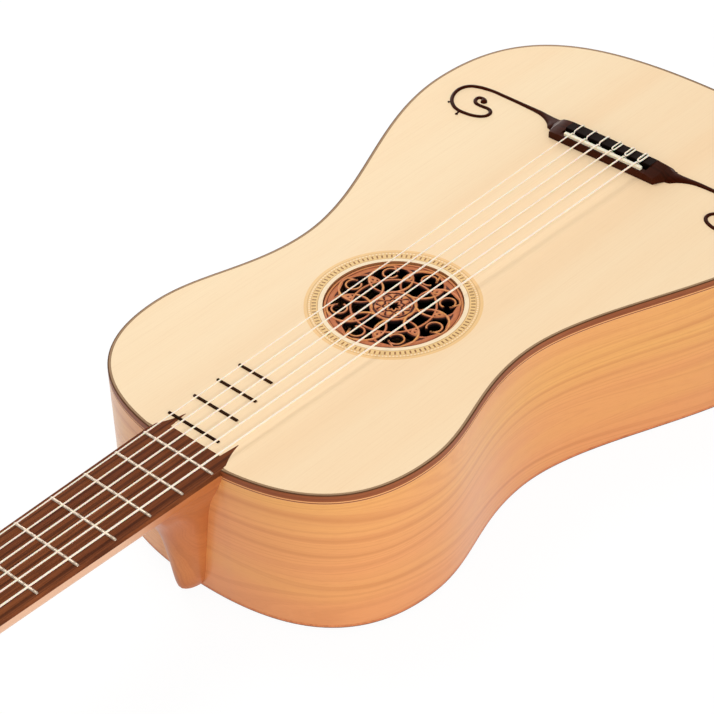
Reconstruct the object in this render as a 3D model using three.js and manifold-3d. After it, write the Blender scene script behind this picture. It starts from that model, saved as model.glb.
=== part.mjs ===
// Baroque guitar with a carved rose, a flat back and friction pegs, lying on its back.
// Millimetres. +X is the treble side, +Y points to the head, +Z up out of the soundboard.
// The origin is on the back's outer face, on the centre line, under the bridge's front edge.

import * as THREE from 'three';
import { mergeVertices } from 'three/addons/utils/BufferGeometryUtils.js';
import Module from 'manifold-3d';

const wasm = await Module();
wasm.setup();

// Strings and frets
const stringLength = 650;
const stringCount = 6;
const stringSpreadAtSaddle = 50.2;
const stringSpreadAtNut = 37;
const stringDiameters = [0.8, 0.9, 1.0, 0.9, 1.0, 1.1];
const neckFrets = 10;
const bodyFrets = 4;

// Body
const bodyLength = 473.2;
const bodyDepth = 99.5;
const upperBoutWidth = 215.8;
const waistWidth = 175;
const lowerBoutWidth = 281;
const upperBoutFromTop = 83.1;
const waistFromTop = 184.6;
const lowerBoutFromTop = 371.9;
const neckJointPastFret = 3.2;
const topThickness = 2.5;
const backThickness = 2.5;
const ribThickness = 2;
const bindingWidth = 3;
const bindingHeight = 6;

// Shares of each stretch of the outline by which its curve follows the tangents at its ends
const shoulderShares = [0.733, 0.609];
const upperSideShares = [0.337, 0.422];
const lowerSideShares = [0.312, 0.354];
const tailShares = [0.745, 0.676];

// Inside the box
const liningWidth = 5;
const liningHeight = 12;
const liningFootShare = 0.25;
const neckBlockDepth = 30;
const neckBlockWidth = 64;
const tailBlockDepth = 18;
const tailBlockWidth = 50;
const barThickness = 8;
const barHeight = 16;
const barEndHeight = 6;
const barEndTaper = 34;
const topBarFromRose = 58;
const backBarShares = [0.2, 0.47, 0.79];
const backStripWidth = 18;
const backStripThickness = 1.8;

// Rose and rosette
const roseFromTop = 170.2;
const soundHoleRadius = 41.1;
const rosetteWidth = 10.9;
const rosetteDepth = 1;
const roseThickness = 2;
const roseGlueWidth = 4;
const roseFolds = 8;
const rosePetalCentre = 25;
const rosePetalRadius = 12.5;
const roseStrapWidth = 1.4;
const roseDiscRadius = 14.6;
const roseStarRadius = 3.6;
const roseStarInnerShare = 0.5;
const roseHoopRadius = 25;
const roseCurlCentre = 30.6;
const roseCurlRadius = 4.4;
const roseCurlStartDegrees = -81;
const roseCurlSweepDegrees = 315;
const roseRimWidth = 3.9;
const roseLeafInner = 24.4;
const roseLeafOuter = 32;
const roseLeafWidth = 5;

// Fingerboard and frets
const boardThickness = 3;
const boardWidthAtNut = 45;
const boardWidthAtBody = 56;
const boardPastEdge = 6.6;
const boardShoulderInset = 1;
const boardTipPastEdge = 22.6;
const boardTipFromCentre = 20.6;
const boardTipHollow = 1.6;
const boardEndPastEdge = 10;
const boardEndHalfWidth = 19;
const fretWidth = 2;
const fretHeight = 0.9;
const fretTangWidth = 0.6;
const fretTangDepth = 1.7;
const fretEndMargin = 1.1;
const fretShoulderShares = [0.75, 0.7];
const bodyFretWidth = 2.2;
const bodyFretHeight = 0.9;
const bodyFretTopShare = 0.6;
const bodyFretTrebleEnd = 28.2;
const bodyFretBassEnds = [-11, -5.8, -2.3, 2.4];

// Neck and heel
const neckDepthAtNut = 11.8;
const neckDepthAtBody = 13.8;
const neckSideStrip = 3;
const heelFloorGap = 5.3;
const heelTipHalfWidth = 6.8;
const heelTipDepth = 11.5;
const heelSweep = 62;
const heelHeightShares = [0, 0.04, 0.2, 0.4, 0.56, 0.68, 0.78, 0.86, 0.95];
const heelWidthShares = [0, 0.07, 0.18, 0.3, 0.4, 0.49, 0.65, 0.83, 0.97];
const heelDepthShares = [0, 0.02, 0.06, 0.12, 0.22, 0.38, 0.62, 0.9, 1];

// Nut, head and veneer
const nutThickness = 5;
const nutHeight = 3;
const nutStringHeight = 2;
const nutSlotPlay = 0.3;
const headTiltDegrees = 8;
const headLength = 188;
const headThickness = 12;
const headWidthAtNut = 46;
const headShoulderLength = 16;
const headWidthAtShoulder = 54;
const headWidthAtEnd = 64;
const headSideLength = 158;
const headCornerShares = [0.78, 0.5];
const veneerThickness = 2;

// Pegs and windings
const pegRowFirst = 45;
const pegRowStep = 44;
const pegColumnSpacing = 40;
const pegTipRadius = 3.1;
const pegTaperShare = 0.03;
const pegAboveFace = 12;
const pegPlay = 0.13;
const pegCollarRadius = 6;
const pegCollarLength = 4;
const pegCollarStandoff = 1.5;
const pegStemRadius = 3.2;
const pegStemLength = 5;
const pegThumbRadii = [3.4, 10.5, 11];
const pegThumbSinkShare = 0.8;
const pegCrownShare = 0.7;
const windingTurns = 3;
const windingAboveFace = 1.4;
const windingGap = 0.5;
const windingPlay = 0.3;

// Bridge, saddle and moustaches
const bridgeFront = 0.4;
const bridgeFrontHalfWidth = 40.8;
const bridgeHalfLength = 45;
const bridgeBack = -21;
const bridgeFrontHeight = 5;
const bridgeBackHeight = 1.8;
const bridgeShelfHeight = 2.5;
const bridgeCornerShare = 0.55;
const bridgeEndFront = -6.8;
const bridgeEndBack = -17.2;
const bridgeBackHalfWidth = 25;
const bridgeBevelRun = 5;
const bridgeEndHeight = 3;
const saddleFront = -1.3;
const saddleThickness = 2.4;
const saddleLength = 60;
const saddleHeight = 7;
const saddleSlotDepth = 3;
const troughHalfLength = 33;
const troughFloorHeight = 2.2;
const tieBlockFront = -7.5;
const tieBlockBack = -15.5;
const tieBlockHeight = 6.8;
const tieHoleHeight = 3.6;
const tieHoleRadius = 1.2;
const tieLoopSpread = 1.25;
const tieLoopBend = 0.9;
const moustacheReachShare = 0.2665;
const moustacheRise = 31.6;
const moustacheArmFromSaddle = 18;
const moustacheHeight = 1.2;
const moustacheHalfWidth = 1.1;
const moustacheBallRadius = 1.9;
const moustacheSpurRadius = 1.5;
const moustacheSpurLengths = [3.2, 5.9];
const moustacheSpurLeanDegrees = [-35, 13];

// Centre line of a moustache: shares of its reach, of its rise, and of its half width
const moustacheShares = [
  [0, 0.15, 5.1], [0.064, 0.1, 3.1], [0.146, 0.045, 1.7], [0.24, 0.008, 1.15], [0.42, 0, 1],
  [0.643, 0, 1], [0.752, 0.005, 1], [0.851, 0.045, 1.1], [0.91, 0.092, 1.1], [0.949, 0.143, 1.1],
  [0.982, 0.234, 1.1], [1, 0.368, 1.1], [0.997, 0.509, 1.05], [0.978, 0.644, 1], [0.943, 0.779, 1],
  [0.895, 0.887, 1], [0.834, 0.968, 1], [0.771, 0.997, 1], [0.717, 0.991, 1], [0.659, 0.971, 1],
  [0.609, 0.928, 1], [0.573, 0.872, 1], [0.548, 0.784, 1], [0.55, 0.676, 1], [0.575, 0.597, 1],
  [0.612, 0.569, 1], [0.651, 0.578, 1], [0.695, 0.584, 1], [0.737, 0.574, 1], [0.769, 0.524, 1],
  [0.786, 0.449, 1], [0.78, 0.375, 1], [0.751, 0.351, 1], [0.725, 0.357, 1], [0.707, 0.38, 1],
];
const moustacheBallShares = [0.707, 0.426];
const moustacheSpurPlaceShares = [0.426, 0.497];
const moustacheSectionShares = [[-1, 0], [-0.8, 0.65], [0, 1], [0.8, 0.65], [1, 0]];

// Play and overrun
const gap = 0.3;
const seatGap = 0.25;
const overrun = 10;
const facetTolerance = 0.002;

// Facets
const stopsPerCurve = 10;
const boardCurveSteps = 4;
const holeSides = 40;
const petalSides = 18;
const curlSteps = 9;
const spandrelSteps = 3;
const neckSteps = 10;
const headCurveSteps = 4;
const moustacheSteps = 40;
const pegHoleSides = 16;
const pegSides = 10;
const ballSides = 8;
const stringSides = 8;
const windingSides = 6;
const windingSteps = 10;

// Derived places
const topZ = bodyDepth;
const topUnderside = topZ - topThickness;
const boardUnderside = topZ - boardThickness;
const bindingUnderside = topZ - bindingHeight;
const nutY = stringLength;
const headY = nutY + nutThickness;
const fretY = (number) => stringLength / 2 ** (number / 12);
const bodyTopY = fretY(neckFrets) - neckJointPastFret;
const tailY = bodyTopY - bodyLength;
const roseY = bodyTopY - roseFromTop;
const headTilt = THREE.MathUtils.degToRad(headTiltDegrees);
const moustacheReach = moustacheReachShare * lowerBoutWidth;

// Finishes
function finish(colour, roughness, metalness = 0) {
  return new THREE.MeshStandardMaterial({ color: colour, roughness, metalness });
}

const spruce = finish(0xfcdfb2, 0.5);
const insideSpruce = finish(0xe6cfa2, 0.8);
const ribWood = finish(0xe89f68, 0.4);
const neckWood = finish(0xd08a5a, 0.4);
const darkBoard = finish(0x6e3a22, 0.5);
const bindingWood = finish(0x8a4b2a, 0.4);
const ringWood = finish(0xe8c58c, 0.5);
const roseWood = finish(0xb5613c, 0.6);
const bridgeWood = finish(0x37221a, 0.3);
const ebony = finish(0x1e1612, 0.4);
const bone = finish(0xf0e6c8, 0.4);
const fretMetal = finish(0xc9c2b4, 0.3, 1);
const stringFinish = finish(0xf2ead6, 0.35);

// Closed bodies

function flatPoint(x, y) {
  return new THREE.Vector2(x, y);
}

function spacePoint(x, y, z) {
  return new THREE.Vector3(x, y, z);
}

// Triangles of a flat ring, turned the way the ring runs
function capTriangles(ring) {
  const normal = new THREE.Vector3();
  ring.forEach((point, index) => {
    normal.add(new THREE.Vector3().crossVectors(point, ring[(index + 1) % ring.length]));
  });
  normal.normalize();
  const across = ring[1].clone().sub(ring[0]).normalize();
  const up = new THREE.Vector3().crossVectors(normal, across);
  const flat = ring.map((point) => flatPoint(point.dot(across), point.dot(up)));
  return THREE.ShapeUtils.triangulateShape(flat, []).map((corners) => {
    const area = THREE.ShapeUtils.area(corners.map((corner) => flat[corner]));
    return area > 0 ? corners : [corners[0], corners[2], corners[1]];
  });
}

function meshGeometry(points, triangles) {
  const geometry = new THREE.BufferGeometry();
  geometry.setFromPoints(points);
  geometry.setIndex(triangles.flat());
  return facingOut(geometry);
}

// Turns every face round if the body is inside out
function facingOut(geometry) {
  const place = geometry.getAttribute('position');
  const order = geometry.index.array;
  const corner = [new THREE.Vector3(), new THREE.Vector3(), new THREE.Vector3()];
  let volume = 0;
  for (let face = 0; face < order.length; face += 3) {
    corner.forEach((point, side) => point.fromBufferAttribute(place, order[face + side]));
    volume += corner[0].dot(corner[1].cross(corner[2]));
  }
  if (volume < 0) {
    for (let face = 0; face < order.length; face += 3) {
      [order[face + 1], order[face + 2]] = [order[face + 2], order[face + 1]];
    }
  }
  return geometry;
}

// A body through rings of equally many points, closed flat at both ends
function loft(rings) {
  const count = rings[0].length;
  const triangles = [];
  for (let ring = 0; ring < rings.length - 1; ring++) {
    for (let side = 0; side < count; side++) {
      const here = ring * count + side;
      const beside = ring * count + (side + 1) % count;
      triangles.push([here, beside, beside + count], [here, beside + count, here + count]);
    }
  }
  const last = (rings.length - 1) * count;
  capTriangles(rings[0]).forEach(([a, b, c]) => triangles.push([a, c, b]));
  capTriangles(rings[rings.length - 1]).forEach(([a, b, c]) => {
    triangles.push([last + a, last + b, last + c]);
  });
  return meshGeometry(rings.flat(), triangles);
}

function prism(points, bottom, top, holes = []) {
  const shape = new THREE.Shape(points);
  shape.holes = holes.map((hole) => new THREE.Path(hole));
  const geometry = new THREE.ExtrudeGeometry(shape, { depth: top - bottom, bevelEnabled: false });
  return geometry.translate(0, 0, bottom);
}

function box(lowX, highX, lowY, highY, lowZ, highZ) {
  const geometry = new THREE.BoxGeometry(highX - lowX, highY - lowY, highZ - lowZ);
  return geometry.translate((lowX + highX) / 2, (lowY + highY) / 2, (lowZ + highZ) / 2);
}

// A profile of points across and up, drawn in the Y-Z plane and run along X
function alongX(points, lowX, highX) {
  const geometry = prism(points, lowX, highX);
  return geometry.rotateX(Math.PI / 2).rotateZ(Math.PI / 2);
}

function circlePoints(radius, sides, centreX = 0, centreY = 0) {
  return Array.from({ length: sides }, (_, side) => {
    const angle = 2 * Math.PI * side / sides;
    return flatPoint(centreX + radius * Math.cos(angle), centreY + radius * Math.sin(angle));
  });
}

// The same faces with their corners shared, and nothing but places
function merged(geometry) {
  const bare = new THREE.BufferGeometry();
  bare.setAttribute('position', geometry.getAttribute('position').clone());
  bare.setIndex(geometry.index);
  return mergeVertices(bare);
}

function toSolid(geometry) {
  const shared = merged(geometry);
  return new wasm.Manifold(new wasm.Mesh({
    numProp: 3,
    vertProperties: Float32Array.from(shared.getAttribute('position').array),
    triVerts: Uint32Array.from(shared.index.array),
  }));
}

// Flat faces that a join left in strips become one face again
function toGeometry(solid) {
  const mesh = solid.asOriginal().simplify(facetTolerance).getMesh();
  const geometry = new THREE.BufferGeometry();
  geometry.setAttribute('position', new THREE.BufferAttribute(mesh.vertProperties, 3));
  geometry.setIndex(new THREE.BufferAttribute(mesh.triVerts, 1));
  return geometry;
}

function join(...geometries) {
  return toGeometry(geometries.map(toSolid).reduce((whole, piece) => whole.add(piece)));
}

function cut(geometry, ...tools) {
  return toGeometry(tools.map(toSolid).reduce((whole, tool) => whole.subtract(tool), toSolid(geometry)));
}

function common(geometry, other) {
  return toGeometry(toSolid(geometry).intersect(toSolid(other)));
}

function mirrored(geometry) {
  const copy = geometry.index ? geometry.clone() : merged(geometry);
  return facingOut(copy.scale(-1, 1, 1));
}

// The body's outline

function outlineCurves() {
  const upper = upperBoutWidth / 2;
  const waist = waistWidth / 2;
  const lower = lowerBoutWidth / 2;
  const toWaist = waistFromTop - upperBoutFromTop;
  const toLower = lowerBoutFromTop - waistFromTop;
  const toTail = bodyLength - lowerBoutFromTop;
  const at = (x, fromTop) => flatPoint(x, bodyTopY - fromTop);
  return [
    [at(0, 0), at(shoulderShares[0] * upper, 0),
      at(upper, (1 - shoulderShares[1]) * upperBoutFromTop), at(upper, upperBoutFromTop)],
    [at(upper, upperBoutFromTop), at(upper, upperBoutFromTop + upperSideShares[0] * toWaist),
      at(waist, waistFromTop - upperSideShares[1] * toWaist), at(waist, waistFromTop)],
    [at(waist, waistFromTop), at(waist, waistFromTop + lowerSideShares[0] * toLower),
      at(lower, lowerBoutFromTop - lowerSideShares[1] * toLower), at(lower, lowerBoutFromTop)],
    [at(lower, lowerBoutFromTop), at(lower, lowerBoutFromTop + tailShares[0] * toTail),
      at(tailShares[1] * lower, bodyLength), at(0, bodyLength)],
  ].map((pulls) => new THREE.CubicBezierCurve(...pulls));
}

// Stops down the treble half, from the neck's end to the tail, with the way out at each
function halfStops() {
  const points = outlineCurves().flatMap((curve, number) => {
    const steps = curve.getPoints(stopsPerCurve);
    return number === 0 ? steps : steps.slice(1);
  });
  return points.map((point, index) => {
    const before = points[index - 1] ?? flatPoint(-points[1].x, points[1].y);
    const after = points[index + 1] ?? flatPoint(-points[index - 1].x, points[index - 1].y);
    const way = after.clone().sub(before).normalize();
    return { point, out: flatPoint(-way.y, way.x) };
  });
}

const trebleStops = halfStops();

function insetPoint(stop, inset) {
  return stop.point.clone().addScaledVector(stop.out, -inset);
}

function stopBetween(from, to, share) {
  return {
    point: from.point.clone().lerp(to.point, share),
    out: from.out.clone().lerp(to.out, share).normalize(),
  };
}

// The stops further from the centre line than the two distances, one at the neck, one at the tail
function stopsBetween(neckX, tailX) {
  const widest = trebleStops.reduce((best, stop, index) => {
    return stop.point.x > trebleStops[best].point.x ? index : best;
  }, 0);
  const first = trebleStops.findIndex((stop) => stop.point.x > neckX);
  const last = trebleStops.findIndex((stop, index) => index > widest && stop.point.x < tailX);
  const middle = trebleStops.slice(Math.max(first, 0), last < 0 ? trebleStops.length : last);
  const stops = [...middle];
  if (neckX > 0) {
    const from = trebleStops[first - 1];
    const to = trebleStops[first];
    stops.unshift(stopBetween(from, to, (neckX - from.point.x) / (to.point.x - from.point.x)));
  } else {
    stops.unshift(trebleStops[0]);
  }
  if (tailX > 0) {
    const from = trebleStops[last - 1];
    const to = trebleStops[last];
    stops.push(stopBetween(from, to, (from.point.x - tailX) / (from.point.x - to.point.x)));
  }
  return stops;
}

function mirroredStop(stop) {
  return { point: flatPoint(-stop.point.x, stop.point.y), out: flatPoint(-stop.out.x, stop.out.y) };
}

// A section of inset and height carried round the stops
function band(section, stops) {
  return loft(stops.map((stop) => sectionRing(section, stop)));
}

function sectionRing(section, stop) {
  return section.map(([inset, height]) => {
    const point = insetPoint(stop, inset);
    return spacePoint(point.x, point.y, height);
  });
}

function bodyOutline(inset) {
  const treble = trebleStops.map((stop) => insetPoint(stop, inset));
  const bass = treble.slice(1, -1).map((point) => flatPoint(-point.x, point.y)).reverse();
  return [...treble, ...bass];
}

// Half the box's width inside an inset, at a distance along the body
function halfWidthAt(y, inset) {
  const edge = trebleStops.map((stop) => insetPoint(stop, inset));
  const next = edge.findIndex((point) => point.y < y);
  const share = (edge[next - 1].y - y) / (edge[next - 1].y - edge[next].y);
  return THREE.MathUtils.lerp(edge[next - 1].x, edge[next].x, share);
}

// Fingerboard's outline, also the notch that it fills in the soundboard

function boardHalfWidth(y) {
  const share = (nutY - y) / (nutY - bodyTopY);
  return THREE.MathUtils.lerp(boardWidthAtNut, boardWidthAtBody, share) / 2;
}

function boardOutline(spread) {
  const shoulder = flatPoint(boardWidthAtBody / 2 - boardShoulderInset + spread, bodyTopY - boardPastEdge);
  const tip = flatPoint(boardTipFromCentre + spread, bodyTopY - boardTipPastEdge - spread);
  const inner = flatPoint(boardEndHalfWidth - spread, bodyTopY - boardEndPastEdge - spread);
  const hollow = shoulder.clone().add(tip).divideScalar(2).add(flatPoint(-boardTipHollow, 0));
  const shape = new THREE.Shape();
  shape.moveTo(boardHalfWidth(nutY) + spread, nutY + spread);
  shape.lineTo(boardHalfWidth(bodyTopY) + spread, bodyTopY);
  shape.lineTo(shoulder.x, shoulder.y);
  shape.quadraticCurveTo(hollow.x, hollow.y, tip.x, tip.y);
  shape.lineTo(tip.x - 2 * spread, tip.y);
  shape.lineTo(inner.x, inner.y);
  const half = shape.getPoints(boardCurveSteps).filter((point, index, all) => {
    return index === 0 || point.distanceTo(all[index - 1]) > 0;
  });
  return [...half, ...half.map((point) => flatPoint(-point.x, point.y)).reverse()];
}

const boardSpace = prism(boardOutline(gap), boardUnderside - gap, topZ + overrun);

// Soundboard, rosette and rose

function soundboard() {
  const hole = circlePoints(soundHoleRadius, holeSides, 0, roseY);
  const plate = prism(bodyOutline(bindingWidth + gap), topUnderside, topZ, [hole]);
  const ringBed = prism(circlePoints(soundHoleRadius + rosetteWidth + gap, holeSides, 0, roseY),
    topZ - rosetteDepth, topZ + overrun);
  return cut(plate, ringBed, boardSpace);
}

function rosetteRing() {
  const outer = circlePoints(soundHoleRadius + rosetteWidth, holeSides, 0, roseY);
  const hole = circlePoints(soundHoleRadius, holeSides, 0, roseY);
  return prism(outer, topZ - rosetteDepth, topZ, [hole]);
}

function starPoints() {
  return Array.from({ length: 2 * roseFolds }, (_, corner) => {
    const radius = corner % 2 === 0 ? roseStarRadius : roseStarRadius * roseStarInnerShare;
    const angle = Math.PI * corner / roseFolds;
    return flatPoint(radius * Math.cos(angle), radius * Math.sin(angle));
  });
}

// A flat strap along a line of points
function strap(points, width, bottom, top) {
  return loft(points.map((point, index) => {
    const before = points[Math.max(index - 1, 0)];
    const after = points[Math.min(index + 1, points.length - 1)];
    const way = after.clone().sub(before).normalize();
    const side = flatPoint(-way.y, way.x).multiplyScalar(width / 2);
    const left = point.clone().add(side);
    const right = point.clone().sub(side);
    return [spacePoint(left.x, left.y, bottom), spacePoint(right.x, right.y, bottom),
      spacePoint(right.x, right.y, top), spacePoint(left.x, left.y, top)];
  }));
}

function hoop(radius, width, sides, bottom, top, centreX = 0, centreY = 0) {
  return prism(circlePoints(radius + width / 2, sides, centreX, centreY), bottom, top,
    [circlePoints(radius - width / 2, sides, centreX, centreY)]);
}

// The petal's curl: in from the petal's edge and round into a ring
function curlPoints() {
  const start = flatPoint(rosePetalCentre + rosePetalRadius, -roseCurlRadius / 2);
  const turn = [];
  for (let step = 0; step <= curlSteps; step++) {
    const degrees = roseCurlStartDegrees + roseCurlSweepDegrees * step / curlSteps;
    const angle = THREE.MathUtils.degToRad(degrees);
    const point = flatPoint(roseCurlRadius * Math.cos(angle), roseCurlRadius * Math.sin(angle));
    turn.push(point.add(flatPoint(roseCurlCentre, 0)));
  }
  return [start, ...turn];
}

// The solid corner between two petals and the rim, about the X axis
function spandrelPoints(outerRadius) {
  const half = Math.PI / roseFolds;
  const centre = flatPoint(rosePetalCentre * Math.cos(half), rosePetalCentre * Math.sin(half));
  const start = -Math.asin(centre.y / rosePetalRadius);
  const side = [];
  for (let step = 0; step <= spandrelSteps; step++) {
    const angle = THREE.MathUtils.lerp(start, half, step / spandrelSteps);
    const out = flatPoint(rosePetalRadius * Math.cos(angle), rosePetalRadius * Math.sin(angle));
    side.push(out.add(centre));
  }
  for (let step = spandrelSteps; step > 0; step--) {
    const angle = half * step / spandrelSteps;
    side.push(flatPoint(outerRadius * Math.cos(angle), outerRadius * Math.sin(angle)));
  }
  const opposite = side.slice(1).map((point) => flatPoint(point.x, -point.y)).reverse();
  return [...side, flatPoint(outerRadius, 0), ...opposite];
}

// Eight interlaced petals round a pierced disc, tied by a hoop, leaves, spandrels and a rim
function rose() {
  const top = topUnderside;
  const bottom = topUnderside - roseThickness;
  const rimInner = soundHoleRadius - roseRimWidth;
  const rim = prism(circlePoints(soundHoleRadius + roseGlueWidth, holeSides), bottom, top,
    [circlePoints(rimInner, holeSides)]);
  const disc = prism(circlePoints(roseDiscRadius, 2 * roseFolds), bottom, top, [starPoints()]);
  const pieces = [rim, disc, hoop(roseHoopRadius, roseStrapWidth, holeSides, bottom, top)];
  for (let fold = 0; fold < roseFolds; fold++) {
    const angle = 2 * Math.PI * fold / roseFolds;
    const petal = hoop(rosePetalRadius, roseStrapWidth, petalSides, bottom, top, rosePetalCentre);
    const curl = strap(curlPoints(), roseStrapWidth, bottom, top);
    const middle = (roseLeafInner + roseLeafOuter) / 2;
    const leaf = prism([flatPoint(roseLeafInner, 0), flatPoint(middle, -roseLeafWidth / 2),
      flatPoint(roseLeafOuter, 0), flatPoint(middle, roseLeafWidth / 2)], bottom, top);
    leaf.rotateZ(Math.PI / roseFolds);
    const spandrel = prism(spandrelPoints(rimInner + roseStrapWidth), bottom, top);
    spandrel.rotateZ(Math.PI / roseFolds);
    [petal, curl, leaf, spandrel].forEach((piece) => pieces.push(piece.rotateZ(angle)));
  }
  return join(...pieces).translate(0, roseY, 0);
}

// Back, ribs, linings, blocks and bars

function back() {
  return prism(bodyOutline(0), 0, backThickness);
}

// The rib stands higher under the fingerboard than under the binding
function rib() {
  const step = boardWidthAtBody / 2 - gap;
  const high = [trebleStops[0], ...trebleStops.filter(({ point }) => {
    return point.x > 0 && point.x < step - gap && point.y > roseY;
  }), stopsBetween(step - gap, 0)[0]];
  const low = stopsBetween(step, 0);
  const rings = [...high, ...low].map((stop, index) => {
    const top = index < high.length ? boardUnderside : bindingUnderside;
    const section = [[0, backThickness], [ribThickness, backThickness], [ribThickness, top], [0, top]];
    return sectionRing(section, stop);
  });
  return loft(rings);
}

const ribInside = ribThickness + gap;

function topLining() {
  const inner = ribInside + liningWidth;
  const foot = ribInside + liningFootShare * liningWidth;
  const low = topUnderside - liningHeight;
  return band([[ribInside, low], [foot, low], [inner, low + liningHeight / 3],
    [inner, topUnderside], [bindingWidth + gap, topUnderside], [bindingWidth + gap, bindingUnderside - gap],
    [ribInside, bindingUnderside - gap]], liningStops());
}

function backLining() {
  const inner = ribInside + liningWidth;
  const foot = ribInside + liningFootShare * liningWidth;
  const high = backThickness + liningHeight;
  return band([[ribInside, backThickness], [inner, backThickness],
    [inner, high - liningHeight / 3], [foot, high], [ribInside, high]], liningStops());
}

function liningStops() {
  return stopsBetween(neckBlockWidth / 2 + gap + ribThickness, tailBlockWidth / 2 + gap + ribThickness);
}

// A block behind the rib's middle, at the neck or at the tail
function endBlock(width, depth, atTail) {
  const layer = (inset, bottom, top) => {
    const half = trebleStops.map((stop) => insetPoint(stop, inset));
    const run = atTail ? half.reverse() : half;
    const crossing = run.findIndex((point) => point.x > width / 2);
    const before = run[crossing - 1];
    const corner = before.clone().lerp(run[crossing], (width / 2 - before.x) / (run[crossing].x - before.x));
    const edge = [...run.slice(0, crossing), corner];
    const innerY = run[0].y + (atTail ? 1 : -1) * (depth - inset);
    const treble = [...edge, flatPoint(width / 2, innerY)];
    const bass = treble.slice(1).map((point) => flatPoint(-point.x, point.y)).reverse();
    return prism([...treble, ...bass], bottom, top);
  };
  const low = layer(ribInside, backThickness, bindingUnderside - gap);
  const high = layer(bindingWidth + gap, bindingUnderside - 2 * gap, topUnderside);
  return join(low, high);
}

// A bar across the box, thinned towards both ends; its flat side faces the plate that it stiffens
function bar(y, plateZ, up) {
  const clear = ribInside + liningWidth + gap;
  const half = Math.min(halfWidthAt(y - barThickness / 2, clear), halfWidthAt(y + barThickness / 2, clear));
  const profile = [[-half, 0], [-half, barEndHeight], [barEndTaper - half, barHeight],
    [half - barEndTaper, barHeight], [half, barEndHeight], [half, 0]];
  const geometry = prism(profile.map(([x, height]) => flatPoint(x, up * height)),
    -barThickness / 2, barThickness / 2);
  return geometry.rotateX(Math.PI / 2).translate(0, y, plateZ);
}

function backStripBox(spread) {
  return box(-backStripWidth / 2 - spread, backStripWidth / 2 + spread,
    tailY + tailBlockDepth + gap - spread, bodyTopY - neckBlockDepth - gap + spread,
    backThickness, backThickness + backStripThickness + spread);
}

function backBar(share) {
  return cut(bar(bodyTopY - share * bodyLength, backThickness, 1), backStripBox(gap));
}

// Neck, fingerboard, frets and nut

function neckRing(y) {
  const half = boardHalfWidth(y);
  const share = (nutY - y) / (nutY - bodyTopY);
  const depth = THREE.MathUtils.lerp(neckDepthAtNut, neckDepthAtBody, share) - neckSideStrip;
  const ring = [spacePoint(half, y, boardUnderside)];
  for (let step = 0; step <= neckSteps; step++) {
    const angle = Math.PI * step / neckSteps;
    const drop = neckSideStrip + depth * Math.sin(angle);
    ring.push(spacePoint(half * Math.cos(angle), y, boardUnderside - drop));
  }
  ring.push(spacePoint(-half, y, boardUnderside));
  return ring;
}

function heelRing(level) {
  const z = THREE.MathUtils.lerp(heelFloorGap, boardUnderside, heelHeightShares[level]);
  const half = THREE.MathUtils.lerp(heelTipHalfWidth, boardWidthAtBody / 2, heelWidthShares[level]);
  const depth = THREE.MathUtils.lerp(heelTipDepth, heelSweep, heelDepthShares[level]);
  const behind = bodyTopY - boardPastEdge;
  const ring = [spacePoint(half, behind, z)];
  for (let step = 0; step <= neckSteps; step++) {
    const angle = Math.PI * step / neckSteps;
    ring.push(spacePoint(half * Math.cos(angle), bodyTopY + depth * Math.sin(angle), z));
  }
  ring.push(spacePoint(-half, behind, z));
  return ring;
}

function neck() {
  const places = [bodyTopY - boardPastEdge, bodyTopY, (bodyTopY + nutY) / 2, nutY, headY + overrun];
  const shaft = loft(places.map(neckRing));
  const heel = loft(heelHeightShares.map((_, level) => heelRing(level)));
  const bodySpace = prism(bodyOutline(-gap), -overrun, topZ + overrun);
  const beyondScarf = box(-boardWidthAtBody, boardWidthAtBody, 0, headLength, -bodyDepth, bodyDepth);
  beyondScarf.rotateX(-headTilt).translate(0, headY, boardUnderside);
  return cut(join(shaft, heel), bodySpace, beyondScarf);
}

function fingerboard() {
  const slots = [];
  for (let number = 1; number <= neckFrets; number++) {
    const half = fretTangWidth / 2 + gap;
    slots.push(box(-boardWidthAtBody, boardWidthAtBody, fretY(number) - half, fretY(number) + half,
      topZ - fretTangDepth - gap, topZ + overrun));
  }
  return cut(prism(boardOutline(0), boardUnderside, topZ), ...slots);
}

function fret(number) {
  const y = fretY(number);
  const half = boardHalfWidth(y) - fretEndMargin;
  const tang = fretTangWidth / 2;
  const crown = fretWidth / 2;
  const shoulder = fretShoulderShares[0] * crown;
  const shoulderUp = fretShoulderShares[1] * fretHeight;
  const profile = [[-tang, -fretTangDepth], [tang, -fretTangDepth], [tang, 0], [crown, 0],
    [shoulder, shoulderUp], [0, fretHeight], [-shoulder, shoulderUp], [-crown, 0], [-tang, 0]];
  return alongX(profile.map(([along, up]) => flatPoint(y + along, topZ + up)), -half, half);
}

function bodyFret(index) {
  const y = fretY(neckFrets + 1 + index);
  const half = bodyFretWidth / 2;
  const top = bodyFretTopShare * half;
  const profile = [[-half, 0], [half, 0], [top, bodyFretHeight], [-top, bodyFretHeight]];
  return alongX(profile.map(([along, up]) => flatPoint(y + along, topZ + up)),
    bodyFretBassEnds[index], bodyFretTrebleEnd);
}

function stringShare(number) {
  return 0.5 - number / (stringCount - 1);
}

function nut() {
  const half = boardWidthAtNut / 2;
  const crown = topZ + nutHeight;
  const backTop = topZ + nutStringHeight - nutHeight / 3;
  const profile = [[nutY, boardUnderside], [headY, boardUnderside], [headY, backTop],
    [(nutY + headY) / 2, crown], [nutY, crown]];
  const blank = alongX(profile.map(([along, up]) => flatPoint(along, up)), -half, half);
  const slots = stringDiameters.map((diameter, number) => {
    const x = stringSpreadAtNut * stringShare(number);
    const reach = diameter / 2 + nutSlotPlay;
    return box(x - reach, x + reach, nutY - overrun, headY + overrun,
      topZ + nutStringHeight - seatGap, crown + overrun);
  });
  return cut(blank, ...slots);
}

// Head, in its own frame: X across, Y from the nut's back, Z up out of its face

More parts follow.
